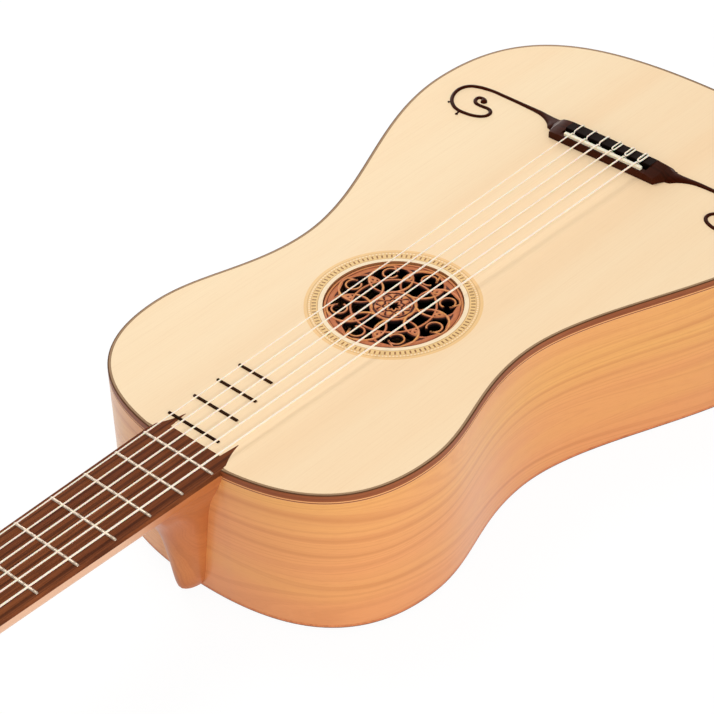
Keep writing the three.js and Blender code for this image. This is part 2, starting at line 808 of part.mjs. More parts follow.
function headOutline() {
  const [cornerShare, crownShare] = headCornerShares;
  const end = headWidthAtEnd / 2;
  const shoulder = headWidthAtShoulder / 2;
  const crownStart = (headSideLength + headLength) / 2;
  const right = new THREE.Shape();
  right.moveTo(headWidthAtNut / 2, gap);
  right.quadraticCurveTo(headWidthAtNut / 2, headShoulderLength / 2, shoulder, headShoulderLength);
  right.lineTo(end, headSideLength);
  right.quadraticCurveTo(cornerShare * end, headSideLength, cornerShare * end, crownStart);
  right.quadraticCurveTo(crownShare * end, crownStart, crownShare * end, (crownStart + headLength) / 2);
  right.quadraticCurveTo(crownShare * end / 2, headLength, 0, headLength);
  const half = right.getPoints(headCurveSteps);
  const left = half.slice(0, -1).map((point) => flatPoint(-point.x, point.y)).reverse();
  return [...half, ...left];
}

const pegPlaces = stringDiameters.map((_, number) => {
  const fromOutside = Math.min(number, stringCount - 1 - number);
  const side = Math.sign(stringShare(number));
  return flatPoint(side * pegColumnSpacing / 2, pegRowFirst + pegRowStep * fromOutside);
});

const pegTipZ = veneerThickness + gap + pegAboveFace;

function pegRadius(z) {
  return pegTipRadius + pegTaperShare * (pegTipZ - z);
}

function pegHole(place, low, high) {
  const round = (radius) => (radius + pegPlay) / Math.cos(Math.PI / pegHoleSides);
  const radii = [round(pegRadius(high)), round(pegRadius(low))];
  const geometry = new THREE.CylinderGeometry(...radii, high - low, pegHoleSides);
  return geometry.rotateX(Math.PI / 2).translate(place.x, place.y, (low + high) / 2);
}

function headPlate(bottom, top) {
  const holes = pegPlaces.map((place) => pegHole(place, bottom - overrun, top + overrun));
  return cut(prism(headOutline(), bottom, top), ...holes);
}

function peg(place) {
  const collarTop = -headThickness - pegCollarStandoff;
  const collarLow = collarTop - pegCollarLength;
  const stemLow = collarLow - pegStemLength;
  const profile = [[0, stemLow], [pegStemRadius, stemLow], [pegStemRadius, collarLow],
    [pegCollarRadius, collarLow + pegCollarLength / 4], [pegCollarRadius, collarTop - pegCollarLength / 4],
    [pegRadius(collarTop), collarTop], [pegTipRadius, pegTipZ - pegTipRadius / 4],
    [pegCrownShare * pegTipRadius, pegTipZ], [0, pegTipZ]];
  const turned = new THREE.LatheGeometry(profile.map(([radius, z]) => flatPoint(radius, z)), pegSides);
  const [thick, wide, long] = pegThumbRadii;
  const thumb = new THREE.SphereGeometry(long, pegSides, ballSides);
  thumb.rotateX(Math.PI / 2).scale(thick / long, wide / long, 1);
  thumb.translate(0, 0, stemLow - pegThumbSinkShare * long);
  return join(turned.rotateX(Math.PI / 2), thumb).translate(place.x, place.y, 0);
}

const windingStartZ = veneerThickness + gap + windingAboveFace;

function windingRadius(diameter) {
  return pegRadius(windingStartZ) + windingPlay + diameter / 2;
}

// Where the string comes in: on the coil's side towards the centre line
function windingPoints(number) {
  const diameter = stringDiameters[number];
  const radius = windingRadius(diameter);
  const side = Math.sign(stringShare(number));
  const pitch = diameter + windingGap;
  return Array.from({ length: windingTurns * windingSteps + 1 }, (_, step) => {
    const angle = 2 * Math.PI * step / windingSteps;
    return spacePoint(-side * radius * Math.cos(angle), radius * Math.sin(angle),
      windingStartZ + diameter / 2 + pitch * step / windingSteps);
  });
}

function leastGap(points, diameter) {
  let least = Infinity;
  points.forEach((point, index) => {
    points.slice(index + windingSteps / 2).forEach((other) => {
      least = Math.min(least, point.distanceTo(other) - diameter);
    });
  });
  return least;
}

function winding(number, place) {
  const diameter = stringDiameters[number];
  const points = windingPoints(number);
  console.log(`winding_${number + 1}: least gap to itself ${leastGap(points, diameter).toFixed(2)} mm`);
  const rings = points.map((point) => {
    const outward = spacePoint(point.x, point.y, 0).normalize();
    return Array.from({ length: windingSides }, (_, side) => {
      const angle = 2 * Math.PI * side / windingSides;
      const across = diameter / 2 * Math.cos(angle);
      return point.clone().addScaledVector(outward, across)
        .add(spacePoint(place.x, place.y, diameter / 2 * Math.sin(angle)));
    });
  });
  return loft(rings);
}

// Strings

// A line through chosen points, stepped from point to point
class PointLine extends THREE.Curve {
  constructor(points) {
    super();
    this.points = points;
  }

  getPoint(share, target = new THREE.Vector3()) {
    const along = share * (this.points.length - 1);
    const from = Math.min(Math.floor(along), this.points.length - 2);
    return target.lerpVectors(this.points[from], this.points[from + 1], along - from);
  }

  getPointAt(share, target) {
    return this.getPoint(share, target);
  }

  getSpacedPoints() {
    return this.points.map((point) => point.clone());
  }

  getTangentAt(share, target = new THREE.Vector3()) {
    const index = Math.round(share * (this.points.length - 1));
    const before = this.points[Math.max(index - 1, 0)];
    const after = this.points[Math.min(index + 1, this.points.length - 1)];
    const here = this.points[index];
    target.set(0, 0, 0);
    if (index > 0) target.add(here.clone().sub(before).normalize());
    if (index < this.points.length - 1) target.add(after.clone().sub(here).normalize());
    return target.normalize();
  }
}

function headToSpace(point) {
  const turned = point.clone().applyAxisAngle(spacePoint(1, 0, 0), -headTilt);
  return turned.add(spacePoint(0, headY, boardUnderside));
}

// From its loop on the tie block over the saddle and the nut to its peg
function stringRoute(number) {
  const radius = stringDiameters[number] / 2;
  const share = stringShare(number);
  const x = stringSpreadAtSaddle * share;
  const nutX = stringSpreadAtNut * share;
  const bass = share < 0;
  const over = topZ + tieBlockHeight + radius + seatGap;
  const hole = topZ + tieHoleHeight;
  const bend = radius + tieLoopBend / 2;
  const loopX = x + (bass ? tieLoopSpread : tieLoopSpread / 2);
  const start = bass
    ? [[x - tieLoopSpread, tieBlockBack + tieLoopBend, over],
      [x - tieLoopSpread, tieBlockFront + seatGap, over],
      [x - tieLoopSpread / 2, tieBlockFront + bend + seatGap, over - tieLoopBend / 2],
      [x + tieLoopSpread / 2, tieBlockFront + bend + seatGap, over - tieLoopBend / 2]]
    : [[loopX, tieBlockFront + bend + seatGap, over - 2 * tieLoopBend],
      [loopX, tieBlockFront + bend + seatGap / 2, over - tieLoopBend]];
  const saddleTop = topZ + saddleHeight;
  const saddleBack = saddleFront - saddleThickness;
  const tail = [
    [loopX, tieBlockFront + seatGap, over],
    [loopX, tieBlockBack, over],
    [loopX, tieBlockBack - bend, over - tieLoopBend],
    [x, tieBlockBack - bend, hole + tieLoopBend],
    [x, tieBlockBack + seatGap, hole],
    [x, tieBlockFront + seatGap, hole],
    [x, saddleBack - radius - seatGap, saddleTop + radius / 2 + seatGap / 2],
    [x, saddleBack + radius, saddleTop + radius + seatGap],
    [x, saddleFront, saddleTop + radius + seatGap],
    [nutX, nutY, topZ + nutStringHeight + radius],
    [nutX, (nutY + headY) / 2, topZ + nutStringHeight + radius],
  ].map((numbers) => spacePoint(...numbers));
  const place = pegPlaces[number];
  const coil = windingRadius(stringDiameters[number]);
  const reach = Math.sqrt((coil + radius + gap) ** 2 - coil ** 2) + gap;
  const arrive = spacePoint(place.x - Math.sign(share) * coil, place.y - reach, windingStartZ + radius);
  return [...start.map((numbers) => spacePoint(...numbers)), ...tail, headToSpace(arrive)];
}

function guitarString(number) {
  const route = stringRoute(number);
  const section = new THREE.Shape(circlePoints(stringDiameters[number] / 2, stringSides));
  return new THREE.ExtrudeGeometry(section, {
    steps: route.length - 1,
    bevelEnabled: false,
    extrudePath: new PointLine(route),
  });
}

// Bridge, saddle and moustaches

function bridge() {
  const profile = [[bridgeFront, 0], [bridgeFront, bridgeFrontHeight],
    [saddleFront - saddleThickness, bridgeFrontHeight], [tieBlockFront, tieBlockHeight],
    [tieBlockBack, tieBlockHeight], [tieBlockBack, bridgeShelfHeight],
    [bridgeBack, bridgeBackHeight], [bridgeBack, 0]];
  const side = profile.map(([y, up]) => flatPoint(y, topZ + up));
  const long = alongX(side, -bridgeHalfLength, bridgeHalfLength);
  const half = [[bridgeFrontHalfWidth, bridgeFront],
    [(bridgeFrontHalfWidth + bridgeHalfLength) / 2, bridgeCornerShare * bridgeEndFront],
    [bridgeHalfLength, bridgeEndFront], [bridgeHalfLength, bridgeEndBack],
    [bridgeBackHalfWidth, bridgeBack]];
  const plan = [...half, ...half.map(([x, y]) => [-x, y]).reverse()].map(([x, y]) => flatPoint(x, y));
  const blank = common(long, prism(plan, topZ, topZ + bodyDepth));
  const trough = box(-troughHalfLength, troughHalfLength, tieBlockFront, saddleFront - saddleThickness - gap,
    topZ + troughFloorHeight, topZ + bodyDepth);
  const slot = box(-saddleLength / 2 - gap, saddleLength / 2 + gap, saddleFront - saddleThickness - gap,
    saddleFront + gap, topZ + bridgeFrontHeight - saddleSlotDepth - gap, topZ + bodyDepth);
  const holes = stringDiameters.map((_, number) => {
    const round = circlePoints(tieHoleRadius, stringSides);
    const drill = prism(round, tieBlockBack - overrun, tieBlockFront + gap);
    const x = stringSpreadAtSaddle * stringShare(number);
    return drill.rotateX(-Math.PI / 2).translate(x, 0, topZ + tieHoleHeight);
  });
  const wedge = prism([flatPoint(bridgeHalfLength - bridgeBevelRun, topZ + tieBlockHeight),
    flatPoint(bridgeHalfLength, topZ + bridgeEndHeight), flatPoint(bridgeHalfLength + overrun, topZ),
    flatPoint(bridgeHalfLength + overrun, topZ + bodyDepth),
    flatPoint(bridgeHalfLength - bridgeBevelRun, topZ + bodyDepth)],
  -bridgeFront - overrun, overrun - bridgeBack);
  wedge.rotateX(Math.PI / 2);
  return cut(blank, trough, slot, ...holes, wedge, mirrored(wedge));
}

function saddle() {
  return box(-saddleLength / 2, saddleLength / 2, saddleFront - saddleThickness, saddleFront,
    topZ + bridgeFrontHeight - saddleSlotDepth, topZ + saddleHeight);
}

// A flat-bottomed, rounded strip along a spline, with a ball in its eye and two spurs on its turn
function moustache() {
  const baseX = bridgeHalfLength + gap;
  const baseY = -moustacheArmFromSaddle;
  const spline = new THREE.CatmullRomCurve3(moustacheShares.map(([along, across, width]) => {
    const x = baseX + along * moustacheReach;
    return spacePoint(x, baseY + across * moustacheRise, width * moustacheHalfWidth);
  }));
  const rings = spline.getPoints(moustacheSteps).map((point, index) => {
    const way = spline.getTangent(index / moustacheSteps);
    const side = index === 0 ? spacePoint(0, 1, 0) : spacePoint(-way.y, way.x, 0).normalize();
    const height = moustacheHeight * Math.sqrt(point.z / moustacheHalfWidth);
    return moustacheSectionShares.map(([across, up]) => {
      return spacePoint(point.x, point.y, topZ + up * height).addScaledVector(side, across * point.z);
    });
  });
  const ball = new THREE.SphereGeometry(moustacheBallRadius, ballSides, ballSides);
  ball.translate(baseX + moustacheBallShares[0] * moustacheReach,
    baseY + moustacheBallShares[1] * moustacheRise, topZ + moustacheBallRadius / 2);
  const spurs = moustacheSpurPlaceShares.map((share, index) => {
    const point = spline.getPoint(share);
    const length = moustacheSpurLengths[index];
    const cone = new THREE.ConeGeometry(moustacheSpurRadius, length, windingSides);
    cone.translate(0, length / 2, 0);
    cone.rotateZ(THREE.MathUtils.degToRad(moustacheSpurLeanDegrees[index]));
    return cone.translate(point.x, point.y, topZ);
  });
  const above = box(0, lowerBoutWidth, -bodyDepth, bodyDepth, topZ, topZ + overrun);
  return common(join(loft(rings), ball, ...spurs), above);
}

// The assembly

const guitar = new THREE.Group();
guitar.name = 'baroque_guitar';
const head = new THREE.Group();
head.rotation.x = -headTilt;
head.position.set(0, headY, boardUnderside);
guitar.add(head);

function place(name, geometry, material, parent = guitar) {
  const mesh = new THREE.Mesh(geometry, material);
  mesh.name = name;
  parent.add(mesh);
}

place('soundboard', soundboard(), spruce);
place('rosette_ring', rosetteRing(), ringWood);
place('rose', rose(), roseWood);
place('back', back(), ribWood);

const trebleRib = rib();
place('rib_treble', trebleRib, ribWood);
place('rib_bass', mirrored(trebleRib), ribWood);

const bindingStops = stopsBetween(boardWidthAtBody / 2 + gap, 0);
const bassBindingStops = bindingStops.slice(0, -1).map(mirroredStop).reverse();
const bindingSection = [[0, bindingUnderside], [bindingWidth, bindingUnderside],
  [bindingWidth, topZ], [0, topZ]];
place('top_binding', band(bindingSection, [...bindingStops, ...bassBindingStops]), bindingWood);

const linings = { top_lining: topLining(), back_lining: backLining() };
Object.entries(linings).forEach(([name, geometry]) => {
  place(`${name}_treble`, geometry, insideSpruce);
  place(`${name}_bass`, mirrored(geometry), insideSpruce);
});

place('neck_block', cut(endBlock(neckBlockWidth, neckBlockDepth, false), boardSpace), insideSpruce);
place('tail_block', endBlock(tailBlockWidth, tailBlockDepth, true), insideSpruce);
place('top_bar_1', bar(roseY + topBarFromRose, topUnderside, -1), insideSpruce);
place('top_bar_2', bar(roseY - topBarFromRose, topUnderside, -1), insideSpruce);
backBarShares.forEach((share, index) => place(`back_bar_${index + 1}`, backBar(share), insideSpruce));
place('back_strip', backStripBox(0), insideSpruce);

place('neck', neck(), neckWood);
place('fingerboard', fingerboard(), darkBoard);
for (let number = 1; number <= neckFrets; number++) {
  place(`fret_${number}`, fret(number), fretMetal);
}
for (let index = 0; index < bodyFrets; index++) {
  place(`body_fret_${neckFrets + 1 + index}`, bodyFret(index), ebony);
}
place('nut', nut(), bone);

place('bridge', bridge(), bridgeWood);
place('saddle', saddle(), bone);
const trebleMoustache = moustache();
place('moustache_treble', trebleMoustache, bridgeWood);
place('moustache_bass', mirrored(trebleMoustache), bridgeWood);

place('headstock', headPlate(-headThickness, 0), neckWood, head);
place('head_veneer', headPlate(gap, veneerThickness + gap), darkBoard, head);

for (let number = 0; number < stringCount; number++) {
  place(`string_${number + 1}`, guitarString(number), stringFinish);
  place(`peg_${number + 1}`, peg(pegPlaces[number]), ebony, head);
  place(`winding_${number + 1}`, winding(number, pegPlaces[number]), stringFinish, head);
}

export default guitar;
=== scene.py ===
# A baroque guitar on its back in a plain studio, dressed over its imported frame.
# Blender works in metres; the numbers below are millimetres and go through mm.
from math import asin, cos, exp, pi, radians, sin, sqrt, tan

import bmesh
import bpy
from mathutils import Matrix, Vector
from mathutils.geometry import tessellate_polygon


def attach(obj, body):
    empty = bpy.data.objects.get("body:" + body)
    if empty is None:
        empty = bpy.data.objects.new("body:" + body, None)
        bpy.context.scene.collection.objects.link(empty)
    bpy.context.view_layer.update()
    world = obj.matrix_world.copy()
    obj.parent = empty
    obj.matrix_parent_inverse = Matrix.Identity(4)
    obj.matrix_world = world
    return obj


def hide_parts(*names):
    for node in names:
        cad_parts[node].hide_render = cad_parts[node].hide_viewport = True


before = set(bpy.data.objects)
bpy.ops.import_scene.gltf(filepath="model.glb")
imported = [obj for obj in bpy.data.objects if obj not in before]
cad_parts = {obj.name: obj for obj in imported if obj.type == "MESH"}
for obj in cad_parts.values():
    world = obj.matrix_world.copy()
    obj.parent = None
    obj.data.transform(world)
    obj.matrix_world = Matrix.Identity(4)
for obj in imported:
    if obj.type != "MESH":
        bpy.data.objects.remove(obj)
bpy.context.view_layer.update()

mm = 0.001

guitar = {
    "stringLength": 650.0,
    "top": 99.5,            # the soundboard's face above the back's
    "bodyLength": 473.2,
    "joint": 3.2,           # the body starts this far past fret ten
    "frets": 10,
}
nutY = guitar["stringLength"]
top = guitar["top"]
bodyTop = nutY / 2 ** (guitar["frets"] / 12) - guitar["joint"]


def addObject(name, data):
    made = bpy.data.objects.new(name, data)
    bpy.context.scene.collection.objects.link(made)
    return made


# Camera

cameraLook = {
    "azimuth": 224.155, "elevation": 38.653, "roll": -2.333,
    "distance": 1389.088,
    "target": (-17.515, 241.433, 99.5),
    "focal": 2470.334,      # in pixels of a frame 714 wide
    "frame": 714,
    "sensor": 36.0,
    "clip": (0.05, 50.0),   # in metres
}


def placeCamera(look):
    azimuth, elevation, roll = (radians(look[key]) for key in ("azimuth", "elevation", "roll"))
    back = Vector((sin(azimuth) * cos(elevation), -cos(azimuth) * cos(elevation), sin(elevation)))
    right = (-back).cross(Vector((0, 0, 1))).normalized()
    above = right.cross(-back)
    axes = Matrix((cos(roll) * right + sin(roll) * above, cos(roll) * above - sin(roll) * right, back))
    lens = bpy.data.cameras.new("camera")
    lens.sensor_width = look["sensor"]
    lens.lens = look["sensor"] * look["focal"] / look["frame"]
    lens.clip_start, lens.clip_end = look["clip"]
    eye = addObject("camera", lens)
    spot = (Vector(look["target"]) + back * look["distance"]) * mm
    eye.matrix_world = Matrix.Translation(spot) @ axes.transposed().to_4x4()
    bpy.context.scene.camera = eye


placeCamera(cameraLook)
print("camera placed")


# Node trees, for finishes and for shapes

def operators(operation):
    # A Python operator and its reflected form, both as one kind of Math node
    def plain(self, other):
        return self.joined(operation, self, other)

    def reflected(self, other):
        return self.joined(operation, other, self)
    return plain, reflected


class Signal:
    # One output of a tree; arithmetic on it adds Math nodes
    __add__, __radd__ = operators("ADD")
    __sub__, __rsub__ = operators("SUBTRACT")
    __mul__, __rmul__ = operators("MULTIPLY")
    __truediv__, __rtruediv__ = operators("DIVIDE")
    __pow__, __rpow__ = operators("POWER")

    def __init__(self, tree, socket):
        self.tree = tree
        self.socket = socket

    def joined(self, operation, *values):
        return self.tree.node("ShaderNodeMath", {"operation": operation}, values)

    def sine(self):
        return self.joined("SINE", self)

    def larger(self, other):
        return self.joined("MAXIMUM", self, other)

    def between(self, low, high):
        # 0 below low, 1 above high, eased between
        return self.tree.node("ShaderNodeMapRange", {"interpolation_type": "SMOOTHSTEP"},
                              {"Value": self, "From Min": low, "From Max": high})


class Tree:
    def __init__(self, group):
        self.nodes = group.nodes
        self.links = group.links

    def node(self, kind, settings=None, values=(), output=0):
        made = self.nodes.new(kind)
        for key, setting in (settings or {}).items():
            setattr(made, key, setting)
        for key, value in values.items() if isinstance(values, dict) else enumerate(values):
            self.feed(made.inputs[key], value)
        return Signal(self, made.outputs[output]) if len(made.outputs) else None

    def feed(self, socket, value):
        if isinstance(value, Signal):
            self.links.new(value.socket, socket)
        else:
            socket.default_value = value


# Finishes

def paint(red, green, blue):
    # A screen colour, 0 to 255, as the linear colour that a shader takes
    parts = [part / 255 for part in (red, green, blue)]
    return tuple(p / 12.92 if p <= 0.04045 else ((p + 0.055) / 1.055) ** 2.4 for p in parts) + (1.0,)


class Finish(Tree):
    def __init__(self, name, constants):
        self.material = bpy.data.materials.new(name)
        self.material.use_nodes = True
        super().__init__(self.material.node_tree)
        for key, value in constants.items():
            self.give(key, value)

    def give(self, name, value):
        self.feed(self.nodes["Principled BSDF"].inputs[name], value)

    def place(self, space="Object", stretch=(1, 1, 1), shift=(0, 0, 0)):
        where = self.node("ShaderNodeTexCoord", output=space)
        return self.node("ShaderNodeMapping", {}, {"Vector": where, "Scale": stretch, "Location": shift})

    def axis(self, where, number):
        return self.node("ShaderNodeSeparateXYZ", {}, [where], number)

    def cloud(self, where, scale, detail=2.0, roughness=0.5):
        return self.node("ShaderNodeTexNoise", {}, {
            "Vector": where, "Scale": scale, "Detail": detail, "Roughness": roughness})

    def strand(self, place, detail, roughness):
        # Noise along one number only
        return self.node("ShaderNodeTexNoise", {"noise_dimensions": "1D"}, {
            "W": place, "Scale": 1.0, "Detail": detail, "Roughness": roughness})

    def blend(self, mask, first, second):
        return self.node("ShaderNodeMix", {"data_type": "RGBA"}, {0: mask, 6: first, 7: second}, 2)

    def relief(self, height, strength, depth):
        self.give("Normal", self.node("ShaderNodeBump", {}, {
            "Strength": strength, "Distance": depth * mm, "Height": height}))


def woodFinish(name, look, *shades, **changes):
    # Growth rings run along one axis; the stretch makes every figure long in that way
    look = dict(look, **changes)
    light, dark, deep = (paint(*shade) for shade in (*shades, *look["shades"][len(shades):]))
    finish = Finish(name, {
        "Coat Weight": look["coat"], "Coat Roughness": look["coatRoughness"],
        "Specular IOR Level": look["specular"], "Specular Tint": paint(*look["shine"])})
    where = finish.place(look["space"], look["stretch"], look["shift"])
    if look.get("joint"):
        # Two halves that mirror each other
        where = finish.node("ShaderNodeVectorMath", {"operation": "ABSOLUTE"}, [where])
    across = finish.axis(where, look["across"])
    ringPlace = across * look["rings"] + (finish.cloud(where, look["swayScale"]) - 0.5) * look["sway"]
    if look.get("growth"):
        # One soft dark line for each year, fading in and out along its length
        wave = (ringPlace * (2 * pi)).sine() * 0.5 + 0.5
        lines = wave ** look["growth"] * finish.cloud(where, look["toneScale"] * 2.3).between(0.34, 0.6)
    else:
        lines = finish.strand(ringPlace, 2.0, 0.55).between(look["lineFrom"], look["lineTo"])
    tone = finish.cloud(where, look["toneScale"], 3).between(0.3, 0.7)
    if look.get("toneTilt"):
        # Painted shade: the second shade gains across the grain, so the ribs darken towards the back
        depth = across - look["shift"][look["across"]]
        tone = (tone * 0.6 + depth * look["toneTilt"]).between(0.1, 1.0)
    fibre = finish.cloud(where, look["fibreScale"], 3, 0.65)
    streaks = finish.strand(ringPlace * 6 + 3, 3.0, 0.6).between(0.4, 0.68)
    marks = [lines * look["lineShare"], fibre.between(0.45, 0.75) * look["fibreShare"],
             streaks * look["streakShare"]]
    if look.get("joint"):
        # The dark glue line between the halves
        marks.append(finish.axis(where, 0).between(look["joint"], look["joint"] * 0.5))
    colour = finish.blend(tone, light, dark)
    for mark in marks:
        colour = finish.blend(mark, colour, deep)
    if look.get("pale"):
        shaft = finish.axis(finish.place(), 1).between(*look["paleFrom"])
        colour = finish.blend(shaft * look["paleShare"], colour, paint(*look["pale"]))
    finish.give("Base Color", colour)
    finish.give("Roughness", fibre * look["roughRange"] + look["rough"])
    finish.relief(fibre * 0.6 + lines * 0.1, look["relief"], 0.3)
    return finish


# Scales and rings count per metre; the shades are light, dark and deep
spruceLook = {
    "space": "Object", "stretch": (1.0, 0.03, 1.0), "shift": (0.0, 0.0, 0.0), "across": 0,
    "rings": 900.0, "sway": 1.2, "swayScale": 9.0, "lineFrom": 0.5, "lineTo": 0.8, "lineShare": 0.09,
    "toneScale": 18.0, "streakShare": 0.0, "fibreScale": 1500.0, "fibreShare": 0.1,
    "shades": ((252, 226, 186), (250, 216, 172), (222, 176, 124)), "shine": (255, 255, 255),
    "rough": 0.42, "roughRange": 0.14, "relief": 0.05, "coat": 0.0, "coatRoughness": 0.35, "specular": 0.25,
}
hardLook = {      # what the harder woods share
    "space": "Object", "stretch": (1.0, 0.09, 1.0), "shift": (0.31, 0.0, 0.0), "across": 0,
    "swayScale": 13.0, "toneScale": 17.0, "streakShare": 0.24, "fibreScale": 1100.0, "fibreShare": 0.16,
    "shine": (255, 255, 255),
    "rough": 0.4, "roughRange": 0.12, "relief": 0.04, "coat": 0.6, "coatRoughness": 0.2, "specular": 0.2,
}
ribLook = dict(
    hardLook, space="UV", stretch=(0.11, 1.0, 1.0), across=1, rings=70.0, sway=8.5, growth=7.0,
    lineShare=0.5, toneTilt=5.0, shades=((232, 169, 89), (229, 151, 91), (197, 117, 59)))
neckLook = dict(
    hardLook, rings=110.0, sway=2.6, swayScale=22.0, growth=7.0, lineShare=0.3, coat=0.3,
    shades=((204, 128, 68), (188, 108, 54), (154, 82, 40)),
    pale=(238, 196, 164), paleShare=0.75, paleFrom=((bodyTop + 30) * mm, (bodyTop + 75) * mm))
boardLook = dict(
    hardLook, stretch=(1.0, 0.05, 1.0), rings=420.0, sway=2.0, swayScale=40.0, lineFrom=0.44, lineTo=0.64,
    lineShare=0.6, toneScale=75.0, fibreScale=1500.0, fibreShare=0.5,
    shades=((142, 79, 42), (110, 54, 28), (54, 24, 14)),
    rough=0.55, roughRange=0.2, relief=0.14, coat=0.0, specular=0.06)
bindingLook = dict(
    hardLook, space="UV", stretch=(0.11, 1.0, 1.0), across=1, rings=420.0, sway=1.5, lineFrom=0.48,
    lineTo=0.66, lineShare=0.5, toneScale=60.0, fibreShare=0.3, coat=0.1,
    shades=((170, 96, 52), (146, 76, 36), (102, 50, 24)))
bridgeLook = dict(
    boardLook, stretch=(0.05, 1.0, 1.0), across=1, lineShare=0.5, fibreShare=0.35,
    shades=((61, 22, 8), (36, 12, 4), (16, 6, 2)), shine=(255, 140, 84),
    rough=0.34, roughRange=0.12, relief=0.03, coat=0.025, coatRoughness=0.15, specular=0.1)
spruce = woodFinish("soundboard_spruce", spruceLook)
insideSpruce = woodFinish("inside_spruce", spruceLook, (178, 142, 98), (160, 124, 84),
                          stretch=(0.05, 1.0, 1.0), across=1, rough=0.6)
neckWood = woodFinish("neck_wood", neckLook)
boardWood = woodFinish("fingerboard_wood", boardLook)


def boneFinish():
    finish = Finish("bone", {"Roughness": 0.32, "Coat Weight": 0.2, "Coat Roughness": 0.15,
                             "Subsurface Weight": 0.12, "Subsurface Scale": 0.002})
    pores = finish.cloud(finish.place("Object", (0.06, 1.0, 1.0)), 900.0, 3, 0.6).between(0.4, 0.75)
    finish.give("Base Color", finish.blend(pores * 0.5, paint(246, 238, 214), paint(226, 210, 174)))
    finish.relief(pores, 0.04, 0.2)
    return finish


def metalFinish():
    finish = Finish("fret_metal", {"Metallic": 1.0, "Specular IOR Level": 0.5})
    marks = finish.cloud(finish.place("Object", (0.2, 1.0, 1.0)), 1400.0, 3, 0.6)
    finish.give("Base Color", finish.blend(marks, paint(190, 174, 156), paint(164, 148, 130)))
    finish.give("Roughness", marks * 0.18 + 0.3)
    finish.relief(marks, 0.04, 0.1)
    return finish


def gutFinish(name, constants, where, scale, second):
    # Pale gut with its twist in a second shade
    finish = Finish(name, constants)
    twist = finish.cloud(finish.place(*where), scale)
    finish.give("Base Color", finish.blend(twist, paint(255, 242, 224), paint(*second)))
    return finish


bone = boneFinish()
fretMetal = metalFinish()
stringGut = gutFinish(
    "string", {"Roughness": 0.4, "Specular IOR Level": 0.2, "Subsurface Weight": 0.2,
               "Subsurface Scale": 0.001}, ("UV", (1.0, 0.3, 1.0)), 700.0, (252, 234, 212))
windingGut = gutFinish(
    "winding_gut", {"Roughness": 0.3, "Coat Weight": 0.3, "Coat Roughness": 0.1},
    ("Object",), 900.0, (250, 230, 206))
print("finishes made")


# Shapes; each is a dictionary of points, faces, the faces' finishes and the UVs of their corners

def turnOut(mesh):
    # Makes every face point outwards
    shell = bmesh.new()
    shell.from_mesh(mesh)
    bmesh.ops.recalc_face_normals(shell, faces=shell.faces)
    shell.to_mesh(mesh)
    shell.free()


def smoothShade(mesh, sharp=35):
    mesh.shade_smooth()
    mesh.set_sharp_from_angle(angle=radians(sharp))


def meshPiece(name, shape, finishes, sharp=35, mapped=False):
    mesh = bpy.data.meshes.new(name)
    mesh.from_pydata([Vector(point) * mm for point in shape["points"]], [], shape["faces"])
    for finish in finishes:
        mesh.materials.append(finish.material)
    if shape.get("marks"):
        mesh.polygons.foreach_set("material_index", shape["marks"])
    if mapped:
        layer = mesh.uv_layers.new(name="lengths")
        layer.data.foreach_set("uv", [part * mm for pair in shape["uvs"] for part in pair])
    turnOut(mesh)
    smoothShade(mesh, sharp)
    return addObject(name, mesh)


def settle(piece, nodes, body="guitar"):
    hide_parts(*nodes)
    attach(piece, body)


def softEdges(piece, width, segments=3, angle=30):
    bevel = piece.modifiers.new("soft edges", "BEVEL")
    bevel.width = width * mm
    bevel.segments = segments
    bevel.limit_method = "ANGLE"
    bevel.angle_limit = radians(angle)
    bevel.harden_normals = True


def softCopy(name, node, finish, width):
    # A CAD piece with its facets joined and its edges eased
    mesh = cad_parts[node].data.copy()
    mesh.materials.clear()
    mesh.materials.append(finish.material)
    joined = bmesh.new()
    joined.from_mesh(mesh)
    bmesh.ops.remove_doubles(joined, verts=joined.verts, dist=0.002 * mm)
    bmesh.ops.dissolve_limit(joined, angle_limit=radians(0.5), verts=joined.verts, edges=joined.edges)
    joined.to_mesh(mesh)
    joined.free()
    smoothShade(mesh)
    piece = addObject(name, mesh)
    softEdges(piece, width)
    settle(piece, [node])


def angles(count):
    return [2 * pi * number / count for number in range(count)]


def circle(radius, sides, centre=(0, 0)):
    return [(centre[0] + radius * cos(angle), centre[1] + radius * sin(angle)) for angle in angles(sides)]


def mirrored(points):
    return [(-point[0], *point[1:]) for point in points]


def band(low, high, count):
    # Faces between two rings, given the number of each ring's first point
    return [(low + side, low + (side + 1) % count, high + (side + 1) % count, high + side)
            for side in range(count)]


def fill(*loops):
    # Triangles over the first loop, with the others as its holes
    flat = [[Vector((x, y, 0)) for x, y in loop] for loop in loops]
    return [tuple(corners) for corners in tessellate_polygon(flat)]


def raised(faces, count):
    return [tuple(corner + count for corner in corners) for corners in faces]


def lengths(points):
    # How far each point lies along the line, and last the way back to its start
    run = [0.0]
    for here, there in zip(points, points[1:] + points[:1]):
        run.append(run[-1] + (Vector(there) - Vector(here)).length)
    return run


def skin(rings, closed=False, marks=None):
    # Faces through rings of equally many points, with lengths along the path and round the ring as UVs
    count = len(rings[0])
    along = lengths([sum((Vector(point) for point in ring), Vector()) / count for ring in rings])
    around = lengths(rings[len(rings) // 2])
    faces, uvs, faceMarks = [], [], []
    for step in range(len(rings) if closed else len(rings) - 1):
        faces += band(step * count, (step + 1) % len(rings) * count, count)
        faceMarks += marks or [0] * count
        for side in range(count):
            uvs += [(along[step], around[side]), (along[step], around[side + 1]),
                    (along[step + 1], around[side + 1]), (along[step + 1], around[side])]
    if not closed:
        for ring in (0, len(rings) - 1):
            faces.append(tuple(range(ring * count, (ring + 1) * count)))
            faceMarks.append(0)
            uvs += [(along[ring], length) for length in around[:count]]
    return {"points": [point for ring in rings for point in ring], "faces": faces, "uvs": uvs, "marks": faceMarks}


